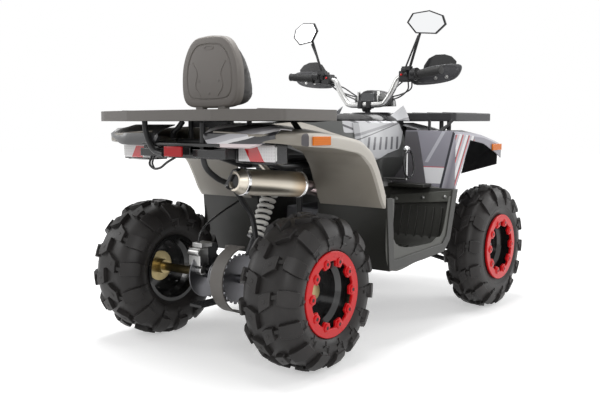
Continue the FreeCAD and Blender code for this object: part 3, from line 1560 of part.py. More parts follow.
def knuckle_shape(side):
    low = Vector(front_x, side * size.kingpin_y, size.lower_ball_z - size.knuckle_radius)
    high = Vector(front_x, side * size.kingpin_y, size.upper_ball_z + size.knuckle_radius)
    upright = rod(low, high, size.knuckle_radius)
    hub = Vector(front_x, side * size.kingpin_y, front_radius)
    stub_end = Vector(front_x, side * (front_y + size.front_disc_inset + size.front_hub_length / 2), front_radius)
    stub = rod(hub, stub_end, size.stub_radius)
    ball = steer_ball(side)
    arm = rod(hub, ball, size.arm_radius)
    eye_start = ball - Z_AXIS * size.arm_radius
    eye = Part.makeCylinder(size.ball_radius, 2 * size.arm_radius, eye_start)
    return upright.fuse([stub, arm, eye])


def steer_ball(side):
    """Where the tie rod joins the knuckle's arm."""
    return Vector(front_x - size.steer_arm_back, side * (size.kingpin_y - size.steer_arm_in), front_radius)


def tie_rod_shape(side):
    ball = steer_ball(side)
    level = ball.z + size.arm_radius + size.rod_gap + size.rod_radius
    outer = Vector(ball.x, ball.y, level)
    inner = Vector(front_x - size.pitman_length, side * size.pitman_half, level)
    bar = rod(outer, inner, size.rod_radius)
    ends = []
    for spot in (outer, inner):
        ends.append(Part.makeCylinder(size.ball_radius, 2 * size.rod_radius, spot - Z_AXIS * size.rod_radius))
    pin = Part.makeCylinder(size.rod_radius, size.rod_gap + size.rod_radius, ball + Z_AXIS * (size.arm_radius
                                                                                            + size.seat_gap))
    return bar.fuse(ends + [pin])


for side_name, side in SIDES.items():
    feature("knuckle_" + side_name, knuckle_shape(side))
    feature("tie_rod_" + side_name, tie_rod_shape(side))


# Steering column and handlebar

HEAD_SHARE = 1.8
PITMAN_HEEL_SHARE = 1.6


def column_shape():
    stem = rod(stem_foot, clamp, size.stem_radius)
    heel = front_x + size.stem_radius * PITMAN_HEEL_SHARE
    tip = front_x - size.pitman_length
    wide = size.pitman_half + size.ball_radius
    outline = [(heel, size.stem_radius), (tip, wide), (tip - size.ball_radius, size.pitman_half)]
    corners = [Vector(x, y, size.stem_foot_z) for x, y in outline]
    corners += [Vector(x, -y, size.stem_foot_z) for x, y in outline[::-1]]
    plate = flat_face(*corners).extrude(Z_AXIS * size.pitman_plate)
    head_length = size.stem_radius * 2
    head = rod(clamp - stem_up * head_length, clamp, size.stem_radius * HEAD_SHARE)
    return stem.fuse([plate, head])


def bar_points(side):
    """One side of the handlebar's line, resting on the clamp."""
    level = clamp + stem_up * (size.bar_radius + size.seat_gap)
    return [level, level + Vector(0, side * size.bar_flat_half, 0),
            level + Vector(0, side * size.bar_rise_half, size.bar_rise),
            level + Vector(-size.bar_end_back, side * size.bar_end_half, size.bar_end_rise)]


def bar_spot(side, share):
    """A point on the handlebar's outer run and the run's direction."""
    points = bar_points(side)
    run = points[-1] - points[-2]
    return points[-2] + run * share, run.normalize()


def bar_collar(side, share, length):
    """A clamp that goes round the handlebar with a small gap."""
    spot, along = bar_spot(side, share)
    start = spot - along * length / 2
    hole = rod(start - along * size.overrun, start + along * (length + size.overrun),
               size.bar_radius + size.seat_gap)
    return rod(start, start + along * length, size.perch_radius), hole


def handlebar_shape():
    line = bar_points(-1)[::-1] + bar_points(1)[1:]
    line.pop(len(bar_points(1)) - 1)
    return tube(line, size.bar_radius, size.bar_bend_radius)


def grip_shape(side):
    end, along = bar_spot(side, 1)
    start = end - along * size.grip_length
    sleeve = rod(start, end + along * size.bar_radius, size.grip_radius)
    hole = rod(start - along * size.overrun, end + along * size.seat_gap, size.bar_radius + size.seat_gap)
    return sleeve.cut(hole)


PERCH_PLACE_SHARE = 0.41
GUARD_PLACE_SHARE = 0.135
MIRROR_PLACE_SHARE = 0.24
GUARD_ARM_SHARE = 1.4


def control_shape(side):
    collar, hole = bar_collar(side, PERCH_PLACE_SHARE, size.perch_length)
    spot, along = bar_spot(side, PERCH_PLACE_SHARE)
    end, along = bar_spot(side, 1)
    pivot = spot + X_AXIS * (size.bar_radius + size.lever_radius * 2)
    middle = spot + along * size.perch_length + X_AXIS * size.perch_radius * 2
    lever = tube([pivot, middle, end + X_AXIS * size.perch_radius * 2], size.lever_radius, size.bar_bend_radius)
    return collar.fuse(lever).cut(hole)


GUARD_SHARES = [(0.0, 0.10), (0.55, 0.0), (0.92, 0.14), (1.0, 0.42), (0.86, 0.66), (0.78, 1.0), (0.50, 1.0),
                (0.28, 0.48), (0.0, 0.42)]


def handguard_shape(side):
    ring = []
    for y_share, z_share in GUARD_SHARES:
        y = side * between(size.guard_inner, size.guard_outer, y_share)
        ring.append(Vector(size.guard_x, y, between(size.guard_low_z, size.guard_high_z, z_share)))
    plate = flat_face(*ring).extrude(X_AXIS * size.guard_plate)
    collar, hole = bar_collar(side, GUARD_PLACE_SHARE, size.perch_length / 2)
    spot, along = bar_spot(side, GUARD_PLACE_SHARE)
    arm = rod(spot, Vector(size.guard_x + size.guard_plate, spot.y, spot.z), size.lever_radius * GUARD_ARM_SHARE)
    return plate.fuse([arm, collar]).cut(hole)


MIRROR_RIM_SHARE = 0.4
MIRROR_BACK_SHARE = 0.6
MIRROR_FOOT_SHARES = (0.2, 0.36)
MIRROR_SHARES = [(-1.0, 0.1), (-0.72, 0.85), (0.15, 1.0), (0.85, 0.5), (1.0, -0.25), (0.5, -1.0), (-0.55, -0.85)]


def mirror_shapes(side):
    """The mirror's housing with its stalk, and its glass."""
    def ring(x, share):
        return [Vector(x, side * y_share * size.mirror_width / 2 * share, z_share * size.mirror_height / 2 * share)
                for y_share, z_share in MIRROR_SHARES]
    housing = faceted([ring(0, 1.0), ring(size.mirror_depth * MIRROR_RIM_SHARE, 1.0),
                       ring(size.mirror_depth, MIRROR_BACK_SHARE)])
    lip = 1 - 2 * size.mirror_lip / size.mirror_height
    room = faceted([ring(-size.overrun, lip), ring(size.mirror_glass, lip)])
    gap_share = lip - 2 * size.seat_gap / size.mirror_height
    glass = faceted([ring(0, gap_share), ring(size.mirror_glass - size.seat_gap, gap_share)])
    housing = housing.cut(room)
    place = Placement(Vector(size.mirror_x, side * size.mirror_y, size.mirror_z),
                      Rotation(Z_AXIS, -side * size.mirror_toe))
    for shape in (housing, glass):
        shape.Placement = place
    collar, hole = bar_collar(side, MIRROR_PLACE_SHARE, size.perch_length / 2)
    foot, along = bar_spot(side, MIRROR_PLACE_SHARE)
    in_share, down_share = MIRROR_FOOT_SHARES
    top = Vector(size.mirror_x + size.mirror_depth / 2, side * (size.mirror_y - size.mirror_width * in_share),
                 size.mirror_z - size.mirror_height * down_share)
    stalk = rod(foot, top, size.mirror_stem_radius)
    return housing.fuse([stalk, collar]).cut(hole), glass


# The pod in front of the bar. Each station: place along it, half width and top, as shares.
POD_STATION_SHARES = [(0.0, 0.62, 0.80), (0.30, 1.0, 1.0), (0.72, 0.92, 0.94), (1.0, 0.50, 0.60)]
POD_LOW_SHARE = 0.7
POD_TOP_SHARE = 0.6


def pod_shape():
    head = size.stem_radius * HEAD_SHARE
    lean = -stem_up.x / stem_up.z
    rear = clamp.x + head * stem_up.z + lean * (clamp.z - head * stem_up.x - size.pod_low_z) + size.seat_gap
    rings = []
    for x_share, half_share, top_share in POD_STATION_SHARES:
        x = rear + size.pod_length * x_share
        half = size.pod_half * half_share
        high = between(size.pod_low_z, size.pod_high_z, top_share)
        middle = between(size.pod_low_z, high, 0.5)
        edge = [(half * POD_LOW_SHARE, size.pod_low_z), (half, middle), (half * POD_TOP_SHARE, high)]
        rings.append([Vector(x, y, z) for y, z in edge] + [Vector(x, -y, z) for y, z in edge[::-1]])
    return faceted(rings)


def instrument_shape():
    low = size.pod_high_z + size.seat_gap
    return block((size.dial_rear_x, size.dial_rear_x + size.dial_length), (-size.dial_half, size.dial_half),
                 (low, low + size.dial_height))


feature("bar_pod", pod_shape())
feature("steering_column", column_shape())
feature("handlebar", handlebar_shape())
feature("hand_grips", Part.makeCompound([grip_shape(side) for side in SIDES.values()]))
feature("hand_controls", Part.makeCompound([control_shape(side) for side in SIDES.values()]))
feature("handguards", Part.makeCompound([handguard_shape(side) for side in SIDES.values()]))
mirrors = [mirror_shapes(side) for side in SIDES.values()]
feature("mirror_housings", Part.makeCompound([housing for housing, glass in mirrors]))
feature("mirror_glasses", Part.makeCompound([glass for housing, glass in mirrors]))
feature("instrument", instrument_shape())


# Front bumper and gear lever

def bumper_shape():
    half = size.frame_half + size.frame_tube_radius + size.seat_gap + size.bumper_radius
    loop = tube([Vector(size.rail_front_x, half, size.bumper_low_z),
                 Vector(size.bumper_front_x - size.bumper_radius, half, size.bumper_low_z),
                 Vector(size.bumper_front_x - size.bumper_radius, half, size.bumper_high_z),
                 Vector(size.bumper_front_x - size.bumper_radius, -half, size.bumper_high_z),
                 Vector(size.bumper_front_x - size.bumper_radius, -half, size.bumper_low_z),
                 Vector(size.rail_front_x, -half, size.bumper_low_z)],
                size.bumper_radius, size.bumper_bend_radius)
    mid = between(size.bumper_low_z, size.bumper_high_z, 0.5)
    bar = rod(Vector(size.bumper_front_x - size.bumper_radius, -half, mid),
              Vector(size.bumper_front_x - size.bumper_radius, half, mid), size.bumper_radius)
    return loop.fuse(bar)


def gear_lever_shape():
    low = Vector(size.lever_x, -size.lever_y, size.lever_low_z)
    high = Vector(size.lever_x, -size.lever_y, size.lever_high_z)
    foot = Vector(size.lever_x, -console_half_at(size.lever_low_z + size.lever_radius) - size.seat_gap,
                  size.lever_low_z)
    knob = Part.makeSphere(size.knob_radius, high)
    return rod(low, high, size.lever_radius).fuse([rod(foot, low, size.lever_radius), knob])


def console_half_at(z):
    """Half width of the console's middle stretch at a height under its ridge."""
    station = CONSOLE_STATION_SHARES[4]
    ridge = between(size.console_low_z, size.console_high_z, CONSOLE_MIDDLE_SHARE)
    share = (z - size.console_low_z) / (ridge - size.console_low_z)
    return size.console_half * between(station[2], station[3], share)


feature("front_bumper", bumper_shape())
feature("gear_lever", gear_lever_shape())


# Checks and files

doc.recompute()
for obj in doc.Objects:
    if "Invalid" in obj.State or "Error" in obj.State:
        raise RuntimeError("failed: " + obj.Label)
os.makedirs("parts", exist_ok=True)
for obj in parts:
    if obj.Shape.isNull() or not obj.Shape.isValid():
        raise RuntimeError("bad shape: " + obj.Label)
    obj.Shape.exportStep("parts/%s.step" % obj.Label)
print(len(parts), "sub-parts written")
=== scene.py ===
# %% [markdown]
# A quad bike, dressed for a studio photograph.
#
# The CAD model brings every rigid shape at its true size. Here each of them gets a finish, and the parts that
# a plain solid can't show, such as lugged tyres, sewn seats and moulded covers, get a piece of their own.
# Everything is in metres: X points forward, Y to the rider's left and Z up, with the wheels on Z = 0.

# %% Load the frame
import json
import math
import bmesh
import bpy
from mathutils import Matrix, Vector


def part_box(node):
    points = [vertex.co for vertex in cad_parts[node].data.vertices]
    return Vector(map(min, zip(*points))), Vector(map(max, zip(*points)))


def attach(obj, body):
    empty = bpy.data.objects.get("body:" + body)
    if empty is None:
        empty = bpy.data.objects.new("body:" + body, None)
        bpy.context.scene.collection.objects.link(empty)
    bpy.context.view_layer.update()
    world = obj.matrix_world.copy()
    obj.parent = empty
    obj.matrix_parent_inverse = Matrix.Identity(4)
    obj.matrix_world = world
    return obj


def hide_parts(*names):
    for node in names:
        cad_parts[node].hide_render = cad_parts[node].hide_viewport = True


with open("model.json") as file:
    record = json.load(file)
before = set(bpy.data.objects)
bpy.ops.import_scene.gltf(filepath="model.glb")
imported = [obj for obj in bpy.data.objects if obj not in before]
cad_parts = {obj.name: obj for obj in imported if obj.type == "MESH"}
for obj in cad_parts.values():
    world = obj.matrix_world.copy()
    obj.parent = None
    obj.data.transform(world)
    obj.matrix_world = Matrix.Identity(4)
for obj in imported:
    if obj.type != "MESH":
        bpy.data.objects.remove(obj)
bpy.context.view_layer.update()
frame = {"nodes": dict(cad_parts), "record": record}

NODES = frame["nodes"]
SLOTS = {part["node"]: part["material_slot"] for part in frame["record"]["subparts"]}
BODY_OF = {node: body for body, members in frame["record"]["behaviour"]["bodies"].items() for node in members}
CHASSIS = BODY_OF["main_frame"]
STEERING = BODY_OF["handlebar"]

# %% [markdown]
# Shader maths. Blender's materials are graphs of nodes, and a formula such as "one minus the mask" takes three
# of them. A small class that wraps a socket lets us write such formulas as plain Python instead.

# %% A socket that does maths
class Wire:
    """An output socket that can be used in an expression."""

    def __init__(self, graph, socket):
        self.graph = graph
        self.socket = socket

    def maths(self, operation, *others, reflected=False):
        sides = (*others, self) if reflected else (self, *others)
        return self.graph.add("Math", {"operation": operation}, *sides)

    def __add__(self, other):
        return self.maths("ADD", other)

    def __sub__(self, other):
        return self.maths("SUBTRACT", other)

    def __mul__(self, other):
        return self.maths("MULTIPLY", other)

    def __truediv__(self, other):
        return self.maths("DIVIDE", other)

    def __rsub__(self, other):
        return self.maths("SUBTRACT", other, reflected=True)

    def __rtruediv__(self, other):
        return self.maths("DIVIDE", other, reflected=True)

    __radd__ = __add__
    __rmul__ = __mul__

    def size(self):
        return self.maths("ABSOLUTE")

    def most(self, other):
        return self.maths("MAXIMUM", other)

    def least(self, other):
        return self.maths("MINIMUM", other)

    def above(self, edge):
        return self.maths("GREATER_THAN", edge)

    def below(self, edge):
        return self.maths("LESS_THAN", edge)

    def between(self, low, high):
        return self.above(low) * self.below(high)

    def near(self, middle, reach):
        return (self - middle).size().below(reach)

    def wrapped(self, span):
        """The distance into each repeat of a span."""
        return self.maths("FLOORED_MODULO", span)

    def share(self, span):
        """The same as a share of the span."""
        return self.wrapped(span) / span

    def off_middle(self, span):
        """The distance from the middle of each repeat, as a share of the span."""
        return (self.share(span) - 0.5).size()


class Graph:
    """A tree of shader nodes that are added by name."""

    def __init__(self, tree):
        self.tree = tree
        self.places = None

    def add(self, kind, settings, *values, out=0, **named):
        """A node of one kind, its settings first, then the values or links of its sockets."""
        node = self.tree.nodes.new("ShaderNode" + kind)
        for key, value in settings.items():
            if key == "stops":
                while len(node.color_ramp.elements) < len(value):
                    node.color_ramp.elements.new(1.0)
                for stop, (position, shade) in zip(node.color_ramp.elements, value):
                    stop.position = position
                    stop.color = (*shade, 1) if isinstance(shade, tuple) else (shade, shade, shade, 1)
            else:
                setattr(node, key, value)
        for index, value in enumerate(values):
            self.feed(node.inputs[index], value)
        for key, value in named.items():
            self.feed(node.inputs[key.replace("_", " ")], value)
        return Wire(self, node.outputs[out])

    def feed(self, socket, value):
        if isinstance(value, Wire):
            self.tree.links.new(value.socket, socket)
        elif isinstance(value, tuple) and socket.type == "RGBA":
            socket.default_value = (*value, 1)
        else:
            socket.default_value = value

    def place(self):
        """The object's own coordinates."""
        if self.places is None:
            self.places = self.add("TexCoord", {}, out="Object")
        return self.places

    def axis(self, name):
        return self.add("SeparateXYZ", {}, self.place(), out=name)

    def out(self):
        """The distance from the machine's middle plane."""
        return self.axis("Y").size()

    def noise(self, scale, detail=2.0, stretch=None):
        where = self.add("Mapping", {}, self.place(), Scale=stretch) if stretch else self.place()
        return self.add("TexNoise", {}, Vector=where, Scale=scale, Detail=detail)

    def ramp(self, wire, *stops):
        return self.add("ValToRGB", {"stops": stops}, wire)

    def mix(self, factor, first, second):
        """Two colours mixed."""
        node = self.tree.nodes.new("ShaderNodeMix")
        node.data_type = "RGBA"
        for index, value in ((0, factor), (6, first), (7, second)):
            self.feed(node.inputs[index], value)
        return Wire(self, node.outputs[2])


PAINTS = {}


class Paint(Graph):
    """A material round a Principled shader, kept in PAINTS under its name."""

    def __init__(self, name, **sockets):
        self.material = bpy.data.materials.new(name)
        self.material.use_nodes = True
        super().__init__(self.material.node_tree)
        self.shader = self.tree.nodes["Principled BSDF"]
        PAINTS[name] = self.material
        self.set(**sockets)

    def set(self, **sockets):
        for key, value in sockets.items():
            self.feed(self.shader.inputs[key.replace("_", " ")], value)

    def coloured(self, colour, *layers):
        """A colour with others laid over it, each where its mask is one."""
        for mask, shade in layers:
            colour = self.mix(mask, colour, shade)
        self.set(Base_Color=colour)

    def rough(self, wire, middle, span):
        """Roughness that wanders with a wire by a span round its middle."""
        self.set(Roughness=wire * span + (middle - span / 2))

    def bump(self, height, strength, distance):
        self.set(Normal=self.add("Bump", {}, Height=height, Strength=strength, Distance=distance))


print("socket class ready")

# %% [markdown]
# Most of the machine is moulded plastic. Real mouldings are never one flat colour: they have a fine grain that
# breaks up the light, slow changes of tone from the mould, and edges worn a little lighter. One recipe with a
# base colour, a grain size and a gloss covers the whole family.

# %% Moulded plastic, metal, rubber and lenses
PRISM = 0.006


def shaded(shade, factor, lift=0.0):
    """A colour made darker or lighter."""
    return tuple(min(1, channel * factor + lift) for channel in shade)


def plastic(name, shade, rough=0.5, grain=900, grain_depth=0.25, drift=0.12, coat=0.0, shine=0.28):
    paint = Paint(name, Specular_IOR_Level=shine, Coat_Weight=coat, Coat_Roughness=0.12)
    slow = paint.noise(6, 3)
    paint.coloured(paint.mix(slow, shaded(shade, 1 - drift), shaded(shade, 1 + drift)))
    paint.rough(slow, rough, 0.14)
    paint.bump(paint.noise(grain), grain_depth, 0.0004)


def metal(name, shade, rough=0.3, brushed=None, grime=0.25):
    paint = Paint(name, Metallic=1.0)
    paint.coloured(paint.mix(paint.noise(14, 4), shaded(shade, 1 - grime), shade))
    fine = paint.noise(300, 3, brushed) if brushed else paint.noise(420)
    paint.rough(fine, rough, 0.16)
    paint.bump(fine, 0.12, 0.0003)
    return paint


def rubber(name, shade, rough=0.62):
    paint = Paint(name, Specular_IOR_Level=0.3)
    slow = paint.noise(9, 4)
    dust = paint.ramp(slow, (0.35, 0.0), (0.75, 1.0))
    paint.coloured(shade, (dust, shaded(shade, 1.6, 0.006)))
    paint.rough(slow, rough, 0.2)
    paint.bump(paint.noise(600, 3), 0.35, 0.0005)


def lens(name, shade):
    """A lamp's plastic lens with a moulded prism pattern."""
    paint = Paint(name, Roughness=0.08, Specular_IOR_Level=0.2, Coat_Weight=0.2, Coat_Roughness=0.03)
    cell = paint.axis("Y").off_middle(PRISM).most(paint.axis("Z").off_middle(PRISM))
    paint.coloured(shade, (cell, shaded(shade, 1.4, 0.012)))
    paint.bump(cell, 0.3, 0.0008)


# %% A finish for every slot
plastic("frame_black", (0.022, 0.022, 0.023), rough=0.34, grain=500, grain_depth=0.12)
plastic("damper_black", (0.025, 0.025, 0.028), rough=0.3, grain=400)
plastic("spring_white", (0.80, 0.79, 0.75), rough=0.35, grain=500, drift=0.05)
plastic("trim_grey", (0.155, 0.145, 0.135), rough=0.55)
plastic("footwell_plastic", (0.024, 0.024, 0.021), rough=0.42, shine=0.45)
plastic("body_silver", (0.30, 0.30, 0.31), rough=0.4, grain=700, grain_depth=0.08, coat=0.4)
plastic("body_white", (0.62, 0.63, 0.64), rough=0.3, grain=700, grain_depth=0.05, coat=0.6)
plastic("console_dark", (0.060, 0.062, 0.060), rough=0.5)
plastic("seat_black", (0.022, 0.022, 0.023), rough=0.55, grain=350, grain_depth=0.6)
plastic("tail_black", (0.018, 0.018, 0.019), rough=0.25, grain=500, grain_depth=0.06, coat=0.5)
plastic("rack_grey", (0.140, 0.131, 0.122), rough=0.5)
plastic("rack_dark", (0.042, 0.042, 0.044), rough=0.45)
plastic("control_black", (0.020, 0.020, 0.021), rough=0.4)
plastic("guard_black", (0.030, 0.030, 0.033), rough=0.5)
plastic("rim_black", (0.010, 0.010, 0.010), rough=0.18, grain=300, grain_depth=0.05, coat=0.8)
plastic("ring_red", (0.60, 0.004, 0.007), rough=0.30, grain=300, grain_depth=0.05, drift=0.1, coat=0.18, shine=0.2)
lens("lens_clear", (0.86, 0.86, 0.87))
lens("lens_red", (0.36, 0.002, 0.006))
lens("lens_amber", (0.62, 0.15, 0.004))
rubber("grip_rubber", (0.018, 0.018, 0.018))
rubber("tyre", (0.014, 0.0125, 0.012), rough=0.46)
CASTING_SHADE = (0.16, 0.16, 0.17)
metal("cast_engine", CASTING_SHADE, rough=0.55)
metal("chrome_trim", (0.78, 0.78, 0.78), rough=0.12, grime=0.1)
metal("bar_silver", (0.55, 0.55, 0.54), rough=0.32)
metal("mirror_face", (0.92, 0.93, 0.94), rough=0.04, grime=0.02)
metal("cast_alloy", (0.30, 0.30, 0.31), rough=0.5)

# brushed steel that has turned straw to brown towards the engine
STEEL_SHADE = (0.60, 0.55, 0.47)
HEAT_START, HEAT_LENGTH = -0.585, 0.10
steel = metal("muffler_steel", STEEL_SHADE, rough=0.36, brushed=(0.2, 8, 8), grime=0.2)
heat = (steel.axis("X") - HEAT_START) / HEAT_LENGTH
steel.coloured(steel.ramp(heat, (0.0, STEEL_SHADE), (0.45, (0.52, 0.42, 0.30)), (0.8, (0.34, 0.24, 0.17)),
                          (1.0, (0.25, 0.20, 0.20))))
# yellow passivated hubs and shaft ends, grey in the middle of the axle
zinc = metal("zinc_steel", (0.50, 0.41, 0.22), rough=0.33, grime=0.4)
patchy = zinc.ramp(zinc.noise(14, 4), (0.3, (0.30, 0.235, 0.11)), (0.7, (0.52, 0.43, 0.24)))
zinc.coloured(patchy, (zinc.out().below(0.150), CASTING_SHADE))

for node, thing in NODES.items():
    thing.data.materials.clear()
    thing.data.materials.append(PAINTS[SLOTS[node]])
print("finishes made:", len(PAINTS))

# %% [markdown]
# Helpers for shapes. Most pieces are lofts: rings of points joined by faces. A ring of points and a table of
# sizes is easier to correct against a photograph than a stack of modifiers, so the loft comes first.

# %% Lofts and mirror images
def loft(rings, caps=True):
    """Points and faces of closed rings joined one to the next."""
    count = len(rings[0])
    points = [point for ring in rings for point in ring]
    faces = []
    for row in range(0, len(points) - count, count):
        for index in range(count):
            after = (index + 1) % count
            faces.append((row + index, row + after, row + count + after, row + count + index))
    if caps:
        faces += [tuple(range(count)), tuple(range(len(points) - count, len(points)))]
    return points, faces


def joined(shapes):
    """Several sets of points and faces as one."""
    points, faces = [], []
    for more_points, more_faces in shapes:
        start = len(points)
        points += more_points
        faces += [tuple(index + start for index in face) for face in more_faces]
    return points, faces


def both(shape):
    """A shape on the left side of the machine and its mirror image on the right."""
    return joined([shape, ([(x, -y, z) for x, y, z in shape[0]], shape[1])])


# %% Turned shapes, bars and bolts
def ring_angles(sides):
    return [2 * math.pi * step / sides for step in range(sides)]


def square_to(along):
    """A direction of length one and two others square to it."""
    along = Vector(along).normalized()
    first = along.orthogonal().normalized()
    return along, first, along.cross(first)


def lathe(start, along, profile, sides=48):
    """A turned shape: a profile of (distance along, radius) round a line."""
    along, first, second = square_to(along)
    return loft([[Vector(start) + along * place + (first * math.cos(angle) + second * math.sin(angle)) * radius
                  for angle in ring_angles(sides)] for place, radius in profile])


def bar(low, high):
    """A bar with square corners, to be rounded by show()."""
    (x0, y0, z0), (x1, y1, z1) = low, high
    return loft([[(x, y0, z0), (x, y1, z0), (x, y1, z1), (x, y0, z1)] for x in (x0, x1)])


def bolt(spot, along, radius=0.006, height=0.004):
    """A hexagon head on a round washer."""
    washer = lathe(spot, along, [(-0.002, radius * 1.5), (0.0008, radius * 1.5), (0.0014, radius * 1.35)], 24)
    head = lathe(spot, along, [(0, radius), (height * 0.8, radius), (height, radius * 0.86)], 6)
    return joined([washer, head])


# %% Soft lines, sweeps and sheets
def smooth_line(corners, steps=6):
    """A soft line through corners."""
    corners = [Vector(corner) for corner in corners]
    ends = [corners[0] * 2 - corners[1]] + corners + [corners[-1] * 2 - corners[-2]]
    line = []
    for a, b, c, d in zip(ends, ends[1:], ends[2:], ends[3:]):
        for step in range(steps):
            t = step / steps
            line.append(0.5 * (2 * b + (c - a) * t + (2 * a - 5 * b + 4 * c - d) * t * t
                               + (3 * b - a - 3 * c + d) * t ** 3))
    return line + [corners[-1]]


def softened_outline(corners, rounds=2):
    """A flat outline whose corners are cut off again and again until they are round."""
    for _ in range(rounds):
        cut = []
        for (y, z), (next_y, next_z) in zip(corners, corners[1:] + corners[:1]):
            cut += [(y * near + next_y * (1 - near), z * near + next_z * (1 - near)) for near in (0.75, 0.25)]
        corners = cut
    return corners


def sweep(line, radius, sides=12, flat=1.0, facing=None):
    """A tube along a line, turned as little as possible from ring to ring or kept facing one way."""
    line = [Vector(point) for point in line]
    rings = []
    side = None
    for index, point in enumerate(line):
        along = (line[min(index + 1, len(line) - 1)] - line[max(index - 1, 0)]).normalized()
        side = Vector(facing) if facing else side or along.orthogonal()
        side = (side - along * side.dot(along)).normalized()
        up = along.cross(side) * flat
        wide = radius(point) if callable(radius) else radius
        rings.append([point + (side * math.cos(angle) + up * math.sin(angle)) * wide
                      for angle in ring_angles(sides)])
    return loft(rings)


def sheet(rows, thickness):
    """A closed sheet from a grid of points, with its second skin behind the first."""
    rows = [[Vector(point) for point in row] for row in rows]
    tall, wide = len(rows), len(rows[0])
    back = []
    for i in range(tall):
        for j in range(wide):
            along = rows[min(i + 1, tall - 1)][j] - rows[max(i - 1, 0)][j]
            across = rows[i][min(j + 1, wide - 1)] - rows[i][max(j - 1, 0)]
            back.append(rows[i][j] - along.cross(across).normalized() * thickness)
    half = tall * wide
    faces = []
    for i in range(tall - 1):
        for a in range(i * wide, i * wide + wide - 1):
            b, c, d = a + 1, a + wide + 1, a + wide
            faces += [(a, b, c, d), (half + d, half + c, half + b, half + a)]
    edge = list(range(wide)) + list(range(2 * wide - 1, half, wide))
    edge += list(range(half - 2, half - wide - 1, -1)) + list(range(half - 2 * wide, 0, -wide))
    faces += [(a, half + a, half + b, b) for a, b in zip(edge, edge[1:] + edge[:1])]
    return [point for row in rows for point in row] + back, faces


print("shape helpers ready")

# %% [markdown]
# A shape becomes a finished piece when its doubled points are merged, its faces point outwards, its edges are
# rounded, it wears a finish, and the frame knows which moving body carries it.

# %% From shapes to finished pieces
MERGE_REACH = 0.00002
FLAT_ANGLE = math.radians(1)
BEVEL_ANGLE = math.radians(30)


def mesh_of(name, shape):
    mesh = bpy.data.meshes.new(name)
    mesh.from_pydata([tuple(point) for point in shape[0]], [], shape[1])
    return mesh


def in_scene(name, data):
    thing = bpy.data.objects.new(name, data)
    bpy.context.scene.collection.objects.link(thing)
    return thing


def cleaned(mesh, flatten=False, place=None):
    """Merges doubled points, joins faces of one plane if asked to, and turns all faces outwards."""
    work = bmesh.new()
    work.from_mesh(mesh)
    bmesh.ops.remove_doubles(work, verts=work.verts, dist=MERGE_REACH)
    if flatten:
        bmesh.ops.dissolve_limit(work, angle_limit=FLAT_ANGLE, verts=work.verts, edges=work.edges)
    bmesh.ops.recalc_face_normals(work, faces=work.faces)
    if place is not None:
        bmesh.ops.transform(work, matrix=place, verts=work.verts)
    work.to_mesh(mesh)
    work.free()
    return mesh


def painted(mesh, paint):
    mesh.materials.clear()
    mesh.materials.append(PAINTS[paint])
    for face in mesh.polygons:
        face.use_smooth = True


def evaluated(thing):
    """The plain mesh of an object with its modifiers; the object itself goes."""
    graph = bpy.context.evaluated_depsgraph_get()
    mesh = bpy.data.meshes.new_from_object(thing.evaluated_get(graph))
    bpy.data.objects.remove(thing)
    return mesh


def show(name, shape, paint, body=CHASSIS, angle=35, bevel=0.0, segments=2, slot=None, node=None, place=None):
    """A shape as a finished piece, which may stand in for a CAD node."""
    mesh = shape if isinstance(shape, bpy.types.Mesh) else mesh_of(name, shape)
    mesh.name = name
    painted(cleaned(mesh, place=place), paint)
    thing = in_scene(name, mesh)
    if bevel:
        soften = thing.modifiers.new("rounded_edges", "BEVEL")
        soften.width = bevel
        soften.segments = segments
        soften.limit_method = "ANGLE"
        soften.angle_limit = BEVEL_ANGLE
    mesh.set_sharp_from_angle(angle=math.radians(angle))
    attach(thing, body)
    slot or (SLOTS[node] if node else paint if paint in SLOTS.values() else "trim_grey")
    if node:
        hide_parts(node)
    print(name, "of", paint, "on", body)


def softened(node, width, segments, paint=None):
    """A CAD shape with its sharp edges rounded as a mould or a press leaves them."""
    show(node + "_soft", cleaned(NODES[node].data.copy(), flatten=True), paint or SLOTS[node], BODY_OF[node],
         bevel=width, segments=segments, node=node)


# %% [markdown]
# Bolts, lugs and bosses repeat round an axle, and ribs in a row. Two small Geometry Nodes trees do that. Both take
# a shape, make a point for each copy, put the copies on the points and join them, so a count is a single number.
# The first tree also turns each copy a little further round the Y axis.

# %% Geometry Nodes trees that repeat a shape
def copies_tree(name, inputs, kinds, links):
    """A tree that copies its shape onto points; the kinds and links given are the ones that make the points."""
    tree = bpy.data.node_groups.new(name, "GeometryNodeTree")
    for label, kind in [("Shape", "Geometry"), ("Copies", "Int"), ("Finish", "Material")] + inputs:
        tree.interface.new_socket(label, in_out="INPUT", socket_type="NodeSocket" + kind)
    tree.interface.new_socket("Shape", in_out="OUTPUT", socket_type="NodeSocketGeometry")
    kinds = {"take": "NodeGroupInput", "copies": "GeometryNodeInstanceOnPoints",
             "real": "GeometryNodeRealizeInstances", "finish": "GeometryNodeSetMaterial",
             "give": "NodeGroupOutput", **kinds}
    inner = {key: tree.nodes.new(kind) for key, kind in kinds.items()}
    for start, out, end, into in links + [
            ("take", "Shape", "copies", "Instance"), ("copies", 0, "real", 0), ("real", 0, "finish", 0),
            ("take", "Finish", "finish", "Material"), ("finish", 0, "give", 0)]:
        tree.links.new(inner[start].outputs[out], inner[end].inputs[into])
    return tree, inner


